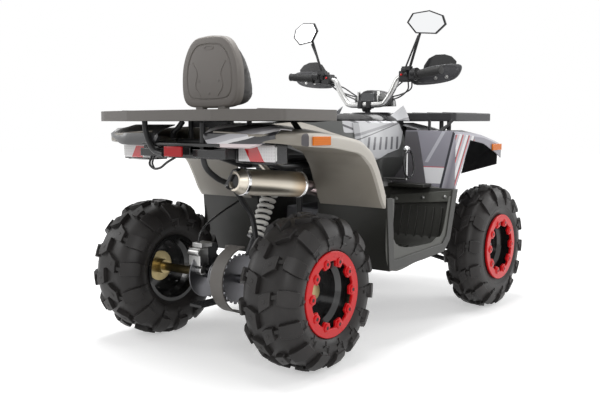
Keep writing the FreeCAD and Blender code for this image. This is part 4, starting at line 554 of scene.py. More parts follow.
ROUND_AXLE, inner = copies_tree(
    "copies_round_axle", [],
    {"points": "GeometryNodePoints", "index": "GeometryNodeInputIndex", "share": "ShaderNodeMath",
     "angle": "ShaderNodeMath", "turns": "ShaderNodeCombineXYZ"},
    [("take", "Copies", "points", "Count"), ("points", 0, "copies", "Points"), ("index", 0, "share", 0),
     ("take", "Copies", "share", 1), ("share", 0, "angle", 0), ("angle", 0, "turns", "Y"),
     ("turns", 0, "copies", "Rotation")])
inner["share"].operation = "DIVIDE"
inner["angle"].operation = "MULTIPLY"
inner["angle"].inputs[1].default_value = 2 * math.pi
IN_ROW = copies_tree(
    "copies_in_row", [("Step", "Vector")], {"line": "GeometryNodeMeshLine"},
    [("take", "Copies", "line", "Count"), ("take", "Step", "line", "Offset"), ("line", 0, "copies", "Points")])[0]


def copied(tree, shape, **values):
    """A shape sent through one of the trees, as points and faces."""
    thing = in_scene("one", mesh_of("one", shape))
    modifier = thing.modifiers.new("copies", "NODES")
    modifier.node_group = tree
    for item in tree.interface.items_tree:
        if item.name in values:
            modifier[item.identifier] = values[item.name]
    mesh = evaluated(thing)
    return [tuple(v.co) for v in mesh.vertices], [tuple(face.vertices) for face in mesh.polygons]


def repeated(shape, copies, paint):
    return copied(ROUND_AXLE, shape, Copies=copies, Finish=PAINTS[paint])


def in_row(shape, copies, step, paint):
    return copied(IN_ROW, shape, Copies=copies, Step=step, Finish=PAINTS[paint])


print("trees:", ROUND_AXLE.name, IN_ROW.name)

# %% [markdown]
# Tyres. A low-pressure off-road tyre is a round, nearly tubular carcass with rubber lugs on it: paired blocks
# down the middle and wide shoulder lugs that run down onto the side wall, each ending in a stepped fin. The
# carcass is turned from a profile, and each lug is a patch of that same surface lifted along its normal, so it
# sits on the rubber exactly. One pitch of lugs is made and then repeated round the wheel.

# %% Wheel sizes and the carcass
# Outer radius, half width, and half width at the bead.
REAR_TYRE, FRONT_TYRE = (0.2795, 0.127, 0.086), (0.292, 0.089, 0.064)
# Each wheel: name, place along and across the machine, sizes of its tyre.
WHEELS = [("rear_left", -0.65, 0.400, REAR_TYRE), ("rear_right", -0.65, -0.400, REAR_TYRE),
          ("front_left", 0.65, 0.455, FRONT_TYRE), ("front_right", 0.65, -0.455, FRONT_TYRE)]
BEAD_RADIUS = 0.133
LUG_DEPTH = 0.017
PITCHES = 14
ROUND_STEPS = 112
# The carcass from its crown past its widest place: half width and height over the bead, as shares.
CARCASS_SHARES = [(0.0, 1.0), (0.25, 0.996), (0.48, 0.975), (0.66, 0.90), (0.78, 0.79), (0.87, 0.66),
                  (0.915, 0.53), (0.925, 0.42), (0.90, 0.30), (0.84, 0.20)]
# From there to the bead: share of the half width at the bead, metres over the bead's radius.
BEAD_SHARES = [(1.10, 0.013), (1.04, 0.005), (1.0, 0.0), (0.94, -0.006)]


def carcass_line(radius, half, bead_half):
    """The carcass's profile from the crown to the bead, as points (y, r)."""
    height = radius - LUG_DEPTH - BEAD_RADIUS
    corners = [(half * y, BEAD_RADIUS + height * r, 0) for y, r in CARCASS_SHARES]
    corners += [(bead_half * y, BEAD_RADIUS + r, 0) for y, r in BEAD_SHARES]
    return [(point.x, point.y) for point in smooth_line(corners, 5)]


class Skin:
    """The carcass's surface by the distance from its crown and the angle round the axle."""

    def __init__(self, line):
        self.line = line
        self.lengths = [0.0]
        for (y, r), (next_y, next_r) in zip(line, line[1:]):
            self.lengths.append(self.lengths[-1] + math.hypot(next_y - y, next_r - r))

    def point(self, distance, angle, lift, side):
        last = len(self.line) - 2
        index = next(i for i, length in enumerate(self.lengths[1:]) if length >= distance or i == last)
        (y, r), (next_y, next_r) = self.line[index], self.line[index + 1]
        share = (distance - self.lengths[index]) / (self.lengths[index + 1] - self.lengths[index])
        run = Vector((next_y - y, next_r - r)).normalized()
        turned = 1 if run.x - run.y * y > 0 else -1
        spot = Vector((y + (next_y - y) * share, r + (next_r - r) * share))
        spot += Vector((-run.y, run.x)) * turned * lift
        return Vector((spot.y * math.cos(angle), side * spot.x, spot.y * math.sin(angle)))


# %% One pitch of the tread
ROOT = -0.004
WEAR_MARK = 0.0009
LUG_DRAFT = 0.0022
# Each lug: its draft and its stations, as distance from the crown in half widths, middle and half length in
# pitches, and height in lug depths.
LUGS = {
    "centre_block": (LUG_DRAFT, [(0.045, 0, 0.25, 1.0), (0.225, 0.112, 0.235, 1.0), (0.43, 0.20, 0.20, 0.99)]),
    "tie_bar": (LUG_DRAFT, [(0.40, 0.24, 0.08, 0.62), (0.61, 0.272, 0.08, 0.62)]),
    "shoulder": (LUG_DRAFT, [(0.56, 0.256, 0.205, 0.98), (0.75, 0.24, 0.255, 0.96), (0.9486, 0.216, 0.275, 0.92),
                             (1.122, 0.208, 0.27, 0.80)]),
    "upper_fin": (0.0015, [(1.0812, 0.16, 0.20, 0.56), (1.326, 0.144, 0.155, 0.42)]),
    "lower_fin": (0.0012, [(1.2852, 0.088, 0.085, 0.34), (1.4688, 0.072, 0.06, 0.24)]),
    "wear_mark": (0.0006, [(share, middle, 0.05, 1 + WEAR_MARK / LUG_DEPTH)
                           for share, middle in ((0.18, 0.088), (0.28, 0.128))])}


def lug(skin, side, draft, stations):
    """A lug from its stations of (distance, middle, half length, height), all in metres."""
    radius = skin.line[0][1]
    rings = []
    for place, (distance, middle, half, height) in enumerate(stations):
        move = {0: draft, len(stations) - 1: -draft}.get(place, 0)
        corners = ((-1, ROOT, 0), (-1, height, 1), (0, height, 1), (1, height, 1), (1, ROOT, 0))
        rings.append([skin.point(distance + move * inset, (middle + along * (half - draft * inset)) / radius, lift,
                                 side) for along, lift, inset in corners])
    return loft(rings)


def pitch_of_lugs(skin, half):
    """The lugs of one pitch on both sides, with the sides half a pitch apart."""
    pitch = 2 * math.pi * skin.line[0][1] / PITCHES
    return joined([
        lug(skin, side, draft, [(distance * half, (phase + middle) * pitch, length * pitch, height * LUG_DEPTH)
                                for distance, middle, length, height in stations])
        for side, phase in ((1, 0.0), (-1, 0.5)) for draft, stations in LUGS.values()])


def rib_band(skin, side, start, end, lift=0.0022):
    """A smooth raised band round the side wall."""
    return loft([[skin.point(distance, angle, height, side) for angle in ring_angles(ROUND_STEPS)]
                 for distance, height in ((start - 0.002, -0.001), (start, lift), ((start + end) / 2, lift * 1.1),
                                          (end, lift), (end + 0.002, -0.001))], caps=False)


def wheel_at(x, y, radius):
    """From a left wheel's own place to one on the machine."""
    return Matrix.Translation((x, y, radius)) @ (Matrix.Rotation(math.pi, 4, "Z") if y < 0 else Matrix())


# %% Tyres with their treads
for name, _, _, (radius, half, bead_half) in WHEELS:
    node = name.replace("_", "_tyre_")
    low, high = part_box(node)
    profile = carcass_line(radius, half, bead_half)
    skin = Skin(profile)
    carcass = loft([[(r * math.cos(angle), y, r * math.sin(angle)) for angle in ring_angles(ROUND_STEPS)]
                    for y, r in profile[::-1] + [(-y, r) for y, r in profile[1:]]], caps=False)
    bands = [rib_band(skin, side, half * 1.62, half * 1.68) for side in (1, -1)]
    place = wheel_at((low[0] + high[0]) / 2, (low[1] + high[1]) / 2, radius)
    show("tyre_" + name, joined([carcass] + bands), "tyre", BODY_OF[node], angle=60, node=node, place=place)
    show("tread_" + name, repeated(pitch_of_lugs(skin, half), PITCHES, "tyre"), "tyre", BODY_OF[node], angle=32,
         bevel=0.0012, segments=1, place=place)
print("tyres made:", len(WHEELS), "pitches each:", PITCHES)

# %% [markdown]
# Painted covers. The real machine wears silver-grey mouldings: warm beige-grey inside the wheel arches, a light
# lip along their edges, and printed stripes and slanted bars. Those are worked out from the place on the machine,
# so no picture is needed, and they stay sharp at any size.

# %% Rear fenders and tail
NEAR_BLACK = (0.04, 0.04, 0.045)
STRIPE_RED = (0.60, 0.05, 0.06)


def body_paint(name, shade, edge, rough, coat):
    """A base coat with slow drift and a fine orange peel."""
    paint = Paint(name, Coat_Weight=coat, Coat_Roughness=0.15)
    slow = paint.noise(5, 3)
    paint.base = paint.mix(slow, shaded(shade, 0.88), edge)
    paint.coloured(paint.base)
    paint.rough(slow, rough, 0.12)
    paint.bump(paint.noise(700), 0.08, 0.0004)
    return paint


paint = body_paint("rear_fender_paint", (0.235, 0.215, 0.180), (0.30, 0.275, 0.235), 0.5, 0.1)
lip = paint.out().above(0.4865)
paint.coloured(paint.base, (lip, (0.50, 0.47, 0.42)),
               (lip * paint.axis("X").between(-0.815, -0.772), (0.075, 0.07, 0.075)))

paint = body_paint("tail_paint", (0.40, 0.395, 0.41), (0.50, 0.49, 0.51), 0.3, 0.6)
out, z = paint.out(), paint.axis("Z")
swoosh = (out * 0.55 + z * -2.4 + (paint.noise(11) - 0.5) * 0.03).share(0.150)
shade = paint.ramp(swoosh, (0.0, (0.022, 0.022, 0.026)), (0.46, (0.025, 0.025, 0.03)), (0.49, (0.36, 0.355, 0.38)),
                   (0.80, (0.46, 0.45, 0.48)), (0.83, (0.72, 0.71, 0.73)), (0.95, (0.74, 0.73, 0.74)))
paint.coloured(shade, (z.below(0.804) * out.above(0.16), (0.72, 0.62, 0.63)),
               (paint.axis("Y").between(0, 0.40), (0.028, 0.028, 0.030)))

# %% Front fenders with their shields
paint = body_paint("front_fender_paint", (0.25, 0.245, 0.285), (0.36, 0.35, 0.40), 0.3, 0.3)
x, out, z = paint.axis("X"), paint.out(), paint.axis("Z")
shield = x.below(0.2965)
leaned = out - (z - 0.57) * 0.25
on_front = shield * leaned.below(0.398)
# painted highlight: the shield's diagonal crease is coloured lighter, as if light caught its ridge
crease_highlight = (out - (z - 0.70) * 0.62).near(0.335, 0.009) * z.above(0.70)
pale = paint.ramp((leaned - 0.41) / 0.05, (0.0, (0.46, 0.45, 0.50)), (0.5, (0.26, 0.25, 0.29)),
                  (1.0, (0.40, 0.39, 0.43)))
bars = paint.ramp((x + z * -0.62).share(0.062), (0.0, (0.74, 0.73, 0.74)), (0.40, (0.76, 0.75, 0.76)),
                  (0.42, NEAR_BLACK), (0.52, NEAR_BLACK), (0.54, STRIPE_RED), (0.66, STRIPE_RED),
                  (0.68, (0.45, 0.43, 0.47)))
paint.coloured(
    paint.base,
    (shield * leaned.above(0.410) * out.below(0.4785), pale),
    (on_front * crease_highlight, (0.50, 0.50, 0.55)),
    (on_front * z.between(0.606, 0.678) * out.above(0.316), (0.80, 0.80, 0.82)),
    (on_front * z.between(0.678, 0.6815) * out.above(0.32), (0.55, 0.10, 0.13)),
    # painted shade: a near-black strip stands for the shade inside the shield's vertical channel
    (shield * leaned.between(0.398, 0.410), (0.045, 0.045, 0.055)),
    (out.above(0.4785) * x.below(0.47), bars),
    (x.above(0.7475) * z.below(0.80), (0.012, 0.012, 0.013)))

# %% Side panels, console and backrest
paint = body_paint("side_panel_paint", (0.42, 0.43, 0.44), (0.58, 0.58, 0.60), 0.42, 0.15)
x, z = paint.axis("X"), paint.axis("Z")
blocks = (x + z * -0.45).wrapped(0.046).between(0.020, 0.037) * z.between(0.760, 0.815) * x.between(-0.05, 0.23)
paint.coloured(paint.base, (blocks, (0.10, 0.10, 0.11)), ((z - x * 0.20).near(0.826, 0.0022), (0.06, 0.06, 0.065)),
               ((z - x * 0.16).near(0.842, 0.006), (0.22, 0.22, 0.23)))

paint = body_paint("console_paint", (0.060, 0.063, 0.060), (0.085, 0.088, 0.084), 0.34, 0.5)
x, z = paint.axis("X"), paint.axis("Z")
streaks = paint.mix((x * 0.35 + z).wrapped(0.034).above(0.024), (0.56, 0.56, 0.58), (0.10, 0.10, 0.11))
paint.coloured(paint.base, (z.above(0.835) * x.above(-0.16), streaks))

paint = body_paint("shell_grey", (0.135, 0.122, 0.112), (0.17, 0.155, 0.142), 0.55, 0.0)
worn = paint.mix(paint.noise(30, 3), paint.base, (0.20, 0.185, 0.17))
paint.coloured(worn, (paint.axis("X").below(-0.7385), paint.base))

# %% Plain covers and the tail lamps' lens
FACET = 0.011
body_paint("knee_paint", (0.105, 0.10, 0.11), (0.14, 0.135, 0.145), 0.5, 0.1)
body_paint("footwell_rim", (0.050, 0.051, 0.044), (0.072, 0.073, 0.064), 0.5, 0.05)
body_paint("guard_grey", (0.040, 0.040, 0.044), (0.055, 0.055, 0.060), 0.45, 0.1)
body_paint("screen_glass", (0.010, 0.012, 0.014), (0.014, 0.016, 0.018), 0.12, 1.0)

paint = Paint("tail_lens", Roughness=0.07, Coat_Weight=1.0)
out, z = paint.out(), paint.axis("Z")
facet = out.off_middle(FACET).most(z.off_middle(FACET))
paint.coloured(paint.mix(facet, (0.62, 0.60, 0.60), (0.88, 0.87, 0.87)),
               ((out + z * 0.6).between(0.728, 0.792), (0.60, 0.015, 0.02)))
paint.bump(facet, 0.35, 0.001)
print("finishes:", len(PAINTS))

# %% [markdown]
# Moulded and pressed parts never have knife edges. Each rigid cover keeps its CAD shape, and a copy of it gets
# its coplanar triangles merged and a small bevel along its edges, which catches the light as real edges do.

# %% Covers with rounded edges
# Each cover: node, width and segments of its edge, and a finish where it isn't its slot's own.
SOFTENED = [
    ("rear_rack", 0.005, 3), ("front_rack", 0.005, 3), ("side_panels", 0.001, 2, "side_panel_paint"),
    ("front_fenders", 0.0012, 2, "front_fender_paint"), ("footwells", 0.0018, 2), ("tail_cover", 0.0035, 3),
    ("tail_lamps", 0.004, 3, "tail_lens"), ("brake_lens", 0.0025, 2), ("side_reflectors", 0.002, 2),
    ("front_ring_left", 0.0035, 3), ("front_ring_right", 0.0035, 3), ("rear_rings", 0.0035, 3),
    ("engine_block", 0.012, 3), ("console", 0.002, 2, "console_paint"), ("nose_cover", 0.002, 2),
    ("skid_plate", 0.001, 2), ("rack_brackets", 0.0015, 2), ("swingarm", 0.002, 2), ("knuckle_left", 0.0015, 2),
    ("knuckle_right", 0.0015, 2), ("mirror_housings", 0.001, 2)]
for cover in SOFTENED:
    softened(*cover)
print("covers with rounded edges:", len(SOFTENED))

# %% [markdown]
# Coil springs. A real coil is round wire, painted white here, closed at both ends. It is a helix swept by a
# circle, and its place comes from the damper's spring seats.

# %% Coil springs
# Each spring: lower eye, upper eye and turns.
SPRINGS = [((-0.575, -0.042, 0.352), (-0.401, -0.042, 0.6777), 9),
           ((0.65, 0.262, 0.268), (0.65, 0.148, 0.637), 8), ((0.65, -0.262, 0.268), (0.65, -0.148, 0.637), 8)]
SPRING_SEATS = (0.24, 0.80)
SEAT_GAP = 0.001
COIL_RADIUS, WIRE_RADIUS = 0.0255, 0.0080
CLOSED_TURNS = 0.6
STEPS_PER_TURN = 28


def coil(low, high, turns):
    low, high = Vector(low), Vector(high)
    along, first, second = square_to(high - low)
    start = low + (high - low) * SPRING_SEATS[0] + along * (WIRE_RADIUS + SEAT_GAP)
    rise = (high - low).length * (SPRING_SEATS[1] - SPRING_SEATS[0]) - 2 * (WIRE_RADIUS + SEAT_GAP)
    line = []
    for step in range(turns * STEPS_PER_TURN + 1):
        turn = step / STEPS_PER_TURN
        angle = 2 * math.pi * turn
        share = min(1, max(0, turn - CLOSED_TURNS) / (turns - 2 * CLOSED_TURNS))
        line.append(start + along * rise * share
                    + (first * math.cos(angle) + second * math.sin(angle)) * COIL_RADIUS)
    return sweep(line, WIRE_RADIUS, 10)


show("springs_round", joined([coil(*spring) for spring in SPRINGS]), "spring_white", angle=60, node="coil_springs")

# %% [markdown]
# The silencer is a satin steel can with rolled bands at both ends. Its outlet is a three-cornered mouth cut at a
# slant and framed in black. The CAD can stays as it is, and these pieces dress it.

# %% Silencer bands and mouth
MUFFLER_END = Vector((-0.800, -0.181, 0.669))
MUFFLER_TURN, MUFFLER_DROP = math.radians(10), math.radians(5)
MUFFLER_AHEAD = Vector((math.cos(MUFFLER_TURN), -math.sin(MUFFLER_TURN), -math.tan(MUFFLER_DROP))).normalized()
MUFFLER_RADIUS = 0.048
bands = [lathe(MUFFLER_END + MUFFLER_AHEAD * place, MUFFLER_AHEAD,
               [(-0.002, MUFFLER_RADIUS - 0.003), (0, MUFFLER_RADIUS + 0.0018), (wide, MUFFLER_RADIUS + 0.0018),
                (wide + 0.002, MUFFLER_RADIUS - 0.003)], 64) for place, wide in ((0.030, 0.012), (0.300, 0.010))]
show("silencer_bands", joined(bands), "chrome_trim", bevel=0.0006)


CORNER_ARC, CORNER_STEPS, CORNER_SHARE = 100, 5, 0.38


def three_corner(centre, along, size):
    """A rounded triangle square to a direction, with a small arc at each corner."""
    side = along.cross(Vector((0, 0, 1))).normalized()
    up = side.cross(along)
    ring = []
    for corner in range(3):
        middle = math.radians(90 + 120 * corner)
        for step in range(CORNER_STEPS):
            angle = middle + math.radians(CORNER_ARC * (step / (CORNER_STEPS - 1) - 0.5))
            spot = Vector((math.cos(middle), math.sin(middle))) * size * (1 - CORNER_SHARE)
            spot += Vector((math.cos(angle), math.sin(angle))) * size * CORNER_SHARE
            ring.append(centre + side * spot.x + up * spot.y)
    return ring


slant = (MUFFLER_AHEAD + Vector((0.25, 0.35, 0))).normalized()
mouth = [three_corner(MUFFLER_END + MUFFLER_AHEAD * place, slant, size) for place, size in (
    (0.034, 0.047), (0.010, 0.0465), (0.002, 0.044), (0.0, 0.041), (0.002, 0.037), (0.020, 0.034))]
show("silencer_mouth", loft(mouth), "tail_black", angle=50)

# %% [markdown]
# The backrest has a grey moulded shell with a soft bevel round its edge, a line pressed into its back all the way
# round and a small raised frame near its top. The shell is a loft of one outline at several depths and sizes.

# %% Backrest shell
SHELL_HALF, SHELL_LOW, SHELL_HIGH = 0.153, 0.930, 1.196
SHELL_BACK, SHELL_FRONT = -0.740, -0.710
half_outline = [(0.12, 1.0), (0.62, 0.97), (0.96, 0.65), (1.0, 0.26), (0.90, 0.06), (0.60, 0.0)]
outline = softened_outline([(-y, z) for y, z in half_outline[::-1]] + half_outline, 3)


def shell_ring(x, scale):
    """The shell's outline at a depth, drawn smaller round its middle by a scale."""
    middle, height = (SHELL_LOW + SHELL_HIGH) / 2, SHELL_HIGH - SHELL_LOW
    return [Vector((x, SHELL_HALF * y * scale, middle + (SHELL_LOW + height * z - middle) * scale))
            for y, z in outline]


shell = loft([shell_ring(SHELL_FRONT, 1.0)] + [shell_ring(SHELL_BACK + depth, scale) for depth, scale in (
    (0.012, 1.0), (0.006, 0.985), (0.0015, 0.95), (0, 0.90), (0, 0.79), (0.0035, 0.775), (0.0035, 0.755),
    (0, 0.74), (-0.001, 0.60), (-0.0015, 0.30))])
raised_frame = loft([[(SHELL_BACK - lift, y, z) for y, z in softened_outline(
    [(-wide, low), (wide, low), (wide, high), (-wide, high)])] for lift, wide, low, high in (
        (-0.002, 0.026, 1.142, 1.160), (0.0022, 0.025, 1.143, 1.159), (0.0022, 0.021, 1.1455, 1.1565),
        (-0.001, 0.020, 1.146, 1.156))])
waves = [sweep(smooth_line([(SHELL_BACK - 0.0005, side * 0.085, 1.10), (SHELL_BACK - 0.001, side * 0.062, 1.06),
                            (SHELL_BACK - 0.001, side * 0.070, 1.01), (SHELL_BACK - 0.0005, side * 0.045, 0.975)]),
               0.0022, 8) for side in (1, -1)]
dimples = [lathe((SHELL_BACK - 0.0025, y, z), (1, 0, 0), [(0, 0.002), (0.0005, 0.005), (0.004, 0.0065)], 20)
           for y, z in ((-0.05, 1.03), (0.05, 1.03), (0.0, 0.985))]
feet = both(bar((SHELL_BACK + 0.004, 0.040, 0.9205), (SHELL_FRONT, 0.076, 0.945)))
show("backrest_shell_moulded", joined([shell, raised_frame] + waves), "shell_grey", angle=28, node="backrest_shell")
show("backrest_dimples", joined(dimples + [feet]), "trim_grey", bevel=0.001)
print("backrest outline:", len(outline), "points")

# %% [markdown]
# Seat and back cushion are foam under a stretched vinyl cover. Foam swells between its seams, and a cloth
# simulation with a little air pressure gives exactly that: the mesh is remeshed finely, blown up for twenty
# frames, held back by a cap on how far a point may go, and then applied.

# %% Blown-up cushions
VOXEL = 0.005
FOAM_PRESSURE = 4
BLOWN_FRAMES = 20


def blown(thing, cap):
    """Lets a cloth simulation blow an object's mesh up, by no more than the cap."""
    cloth = thing.modifiers.new("cloth", "CLOTH")
    cloth.settings.use_pressure = True
    cloth.settings.uniform_pressure_force = FOAM_PRESSURE
    cloth.settings.effector_weights.gravity = 0
    for frame_number in range(1, BLOWN_FRAMES + 1):
        bpy.context.scene.frame_set(frame_number)
    graph = bpy.context.evaluated_depsgraph_get()
    after = [vertex.co.copy() for vertex in thing.evaluated_get(graph).data.vertices]
    thing.modifiers.remove(cloth)
    bpy.context.scene.frame_set(1)
    for vertex, new in zip(thing.data.vertices, after):
        move = new - vertex.co
        if move.length > cap:
            move *= cap / move.length
        vertex.co += move


def padded(name, shape, paint, node, cap):
    thing = in_scene(name, cleaned(mesh_of(name, shape)))
    fine = thing.modifiers.new("remesh", "REMESH")
    fine.mode = "VOXEL"
    fine.voxel_size = VOXEL
    mesh = evaluated(thing)
    mesh.name = name
    thing = in_scene(name, mesh)
    blown(thing, cap)
    painted(mesh, paint)
    finer = thing.modifiers.new("smoothed", "SUBSURF")
    finer.levels = finer.render_levels = 1
    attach(thing, CHASSIS)
    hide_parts(node)


def vinyl(name, shade, axis, span):
    """Vinyl with a pebble grain and sewn channels at a regular span along one axis."""
    paint = Paint(name)
    slow = paint.noise(7, 3)
    channel = paint.axis(axis).off_middle(span)
    paint.coloured(paint.mix(slow, shaded(shade, 0.85), shaded(shade, 1.2)),
                   (channel.above(0.44), shaded(shade, 0.45)))
    paint.rough(slow, 0.5, 0.18)
    paint.bump(paint.noise(520, 3) * 0.35 - channel * channel * channel * 3.0, 0.5, 0.0016)


vinyl("cushion_vinyl", (0.040, 0.038, 0.037), "Y", 0.022)
vinyl("seat_vinyl", (0.028, 0.027, 0.027), "X", 0.060)

# The cushion: its outline as a share of the shell's, its gap to the shell, its depth at top and foot, and the
# share of that depth which stays for the foam before it is blown up.
CUSHION_SHARE, CUSHION_GAP = 0.93, 0.0045
CUSHION_TOP, CUSHION_FOOT, CUSHION_FOAM = 0.038, 0.104, 0.92
cushion_rings = []
for shrink, deep in ((0.985, 0.0), (0.985, 0.5), (0.90, 0.93)):
    depths = [(CUSHION_TOP + (CUSHION_FOOT - CUSHION_TOP) * (1 - z)) * deep * CUSHION_FOAM for y, z in outline]
    cushion_rings.append([(SHELL_FRONT + CUSHION_GAP + depth, point.y, point.z)
                          for depth, point in zip(depths, shell_ring(0, CUSHION_SHARE * shrink))])
padded("back_cushion", loft(cushion_rings), "cushion_vinyl", "backrest_cushion", 0.006)

SEAT_REAR, SEAT_LENGTH, SEAT_HALF = -0.560, 0.786, 0.147
SEAT_FOOT, SEAT_EDGE, SEAT_TOP, SEAT_CROWN = 0.8862, 0.9, 0.8855, 0.026
seat_rings = []
for x_share, wide, high in ((0.0, 0.90, 0.85), (0.10, 1.0, 1.0), (0.5, 1.0, 0.92), (0.85, 0.90, 0.94),
                            (1.0, 0.62, 0.72)):
    half = SEAT_HALF * wide
    corners = [(half, SEAT_FOOT), (half, SEAT_EDGE), (half * 0.9, SEAT_TOP + SEAT_CROWN * high)]
    seat_rings.append([(SEAT_REAR + SEAT_LENGTH * x_share, y, z)
                       for y, z in corners + [(-y, z) for y, z in corners[::-1]]])
padded("seat_pad", loft(seat_rings), "seat_vinyl", "seat", 0.004)
print("padded pieces: 2, simulated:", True)

# %% [markdown]
# The rear fenders are curved sheets: flat over the tyre, rounded in plan at the tail corner, and sweeping down in
# front of the tyre. A grid of points is drawn section by section, smoothed from section to section, and given its
# thickness along its own normals. The painted tail panel between lamps and rack is a sheet too.

# %% Smooth rear fenders
# Each section: place along the machine, outer edge, outer top, outer bottom, inner top, end of the inner lip.
FENDER_SECTIONS = [
    (-0.884, 0.330, 0.8385, 0.812, 0.8455, 0.300), (-0.872, 0.392, 0.8385, 0.809, 0.8465, 0.372),
    (-0.850, 0.440, 0.8390, 0.806, 0.848, 0.420), (-0.815, 0.478, 0.8405, 0.801, 0.851, 0.442),
    (-0.765, 0.498, 0.8415, 0.7955, 0.8555, 0.420), (-0.700, 0.4998, 0.8405, 0.791, 0.861, 0.370),
    (-0.630, 0.4998, 0.835, 0.7875, 0.865, 0.310), (-0.550, 0.4998, 0.826, 0.776, 0.872, 0.265),
    (-0.473, 0.4998, 0.812, 0.762, 0.877, 0.232), (-0.425, 0.4998, 0.789, 0.733, 0.877, 0.215),
    (-0.391, 0.4998, 0.766, 0.702, 0.877, 0.205), (-0.355, 0.4998, 0.715, 0.640, 0.868, 0.198),
    (-0.327, 0.4998, 0.664, 0.582, 0.8595, 0.195), (-0.304, 0.4998, 0.612, 0.5505, 0.842, 0.190)]
FENDER_INNER = 0.1635
FENDER_WALL, FENDER_SHOULDER, FENDER_LIP = 0.0042, 0.014, 0.003


def fender_section(x, outer, top, low, inner_top, lip_end):
    """Points from the inner edge over the shoulder, round the lip and back under it."""
    round_y, round_z = outer - FENDER_SHOULDER, top - FENDER_SHOULDER
    points = [(FENDER_INNER + (outer - 0.02 - FENDER_INNER) * share, inner_top + (top - inner_top) * share ** 1.3)
              for share in (0, 0.2, 0.4, 0.6, 0.8, 1.0)]
    points += [(round_y + FENDER_SHOULDER * math.sin(angle), round_z + FENDER_SHOULDER * math.cos(angle))
               for angle in map(math.radians, (30, 60, 90))]
    points += [(outer, (round_z + low) / 2), (outer, low + FENDER_LIP), (outer - FENDER_LIP, low)]
    points += [(outer - FENDER_LIP + (lip_end - outer) * share, low + 0.001) for share in (0.35, 0.7, 1.0)]
    return [(x, y, z) for y, z in points]


columns = zip(*[fender_section(*section) for section in FENDER_SECTIONS])
rows = list(zip(*[smooth_line(column, 4) for column in columns]))
show("rear_fenders_moulded", both(sheet(rows, FENDER_WALL)), "rear_fender_paint", angle=40, node="rear_fenders")

# %% Tail panels
TAIL_EDGE = [(0.120, 0.824), (0.145, 0.800), (0.19, 0.792), (0.30, 0.792), (0.345, 0.796), (0.385, 0.812),
             (0.425, 0.822)]
TAIL_REAR, CURVE_START, CURVE_POWER, CURVE_DEPTH = -0.886, 0.30, 1.6, 0.75
TAIL_TOP, SLOPE_START, SLOPE = 0.866, 0.36, 0.28
panel_rows = []
for y, z, _ in smooth_line([(y, z, 0) for y, z in TAIL_EDGE], 5):
    rear = TAIL_REAR + max(0, y - CURVE_START) ** CURVE_POWER * CURVE_DEPTH
    top = TAIL_TOP - max(0, y - SLOPE_START) * SLOPE
    panel_rows.append([(rear + 0.010, y, z), (rear, y, z + 0.003), (rear - 0.001, y, z + 0.012),
                       (rear + 0.004, y, 0.8355), (rear + 0.03, y, 0.852), (rear + 0.085, y, top)])
show("tail_panels", both(sheet(panel_rows, 0.0035)), "tail_paint", angle=40, slot=SLOTS["rear_fenders"])
print("rear fenders:", len(rows), "sections of", len(rows[0]), "points")

# %% [markdown]
# Between the console and the leg shield sits a hollow knee cover. It has no load to carry, so it is a thin curved
# plate that closes the gap, with a low box at its foot.

# %% Knee covers and boxes beside the footwell
KNEE_FRONT = 0.2885
# Each row of the plate: height, inner and outer edge, and how far its middle stands forward.
KNEE_ROWS = [(0.583, 0.150, 0.338, 0.0), (0.62, 0.160, 0.332, 0.004), (0.70, 0.195, 0.318, 0.010),
             (0.78, 0.222, 0.302, 0.008), (0.838, 0.228, 0.288, 0.0)]
knee_rows = [[(KNEE_FRONT + bulge * math.sin(math.pi * share), inner + (outer - inner) * share, z)
              for share in (0, 0.15, 0.3, 0.5, 0.7, 0.85, 1.0)] for z, inner, outer, bulge in KNEE_ROWS]
show("knee_covers", both(sheet(knee_rows, -0.003)), "knee_paint", angle=50, slot=SLOTS["front_fenders"])
step_box = bar((0.215, 0.178, 0.5895), (0.2865, 0.366, 0.606))
show("footwell_boxes", both(step_box), "footwell_plastic", bevel=0.004, segments=3)

# %% [markdown]
# The footwell's front wall and floor are ribbed for stiffness. A rib is one slim bar, and the row tree repeats it.
# Above the wall's ribs a bolted strip holds the wall to the frame, and a flat rim frames the footwell's side.

# %% Footwell ribs, strips and bolts
# The wall's place at a height, and how it leans; the floor's height under the rider's foot, and how it rises.
WALL_X, WALL_Z, WALL_LEAN = 0.2178, 0.40, 0.274
FLOOR_Z, FLOOR_RISE = 0.3232, 0.052
RIB_START, RIB_END, RIB_HEIGHT, RIB_STEP = 0.200, 0.208, 0.008, 0.040


def on_wall(y, z, proud=0.0):
    """A point on the footwell's front wall, or standing out from it towards the rear."""
    return (WALL_X + (z - WALL_Z) * WALL_LEAN - proud, y, z)


wall_rib = loft([[on_wall(RIB_START, z), on_wall(RIB_START, z, RIB_HEIGHT), on_wall(RIB_END, z, RIB_HEIGHT),
                  on_wall(RIB_END, z)] for z in (0.372, 0.505)])
floor_rib = loft([[(x, y, FLOOR_Z + x * FLOOR_RISE + up) for y, up in (
    (RIB_START, -0.002), (RIB_END, -0.002), (RIB_END, 0.009), (RIB_START, 0.009))] for x in (-0.21, 0.155)])
ribs = [in_row(rib, 7, (0, RIB_STEP, 0), "footwell_plastic") for rib in (wall_rib, floor_rib)]
strip = sheet([[on_wall(y, z, proud) for z, proud in ((low, 0.001), (low, 0.005), (high, 0.005), (high, 0.001))]
               for y, low, high in ((0.172, 0.508, 0.544), (0.478, 0.534, 0.578))], 0.003)
bolts = [bolt(on_wall(y, z, 0.008), (-1, 0, 0), 0.0065)
         for y, z in ((0.206, 0.530), (0.342, 0.542), (0.45, 0.551))]
show("footwell_ribs", both(joined(ribs)), "footwell_plastic", bevel=0.0012)
show("footwell_strips", both(strip), "footwell_rim", slot=SLOTS["footwells"])
show("footwell_bolts", both(joined(bolts)), "bar_silver", bevel=0.0004)

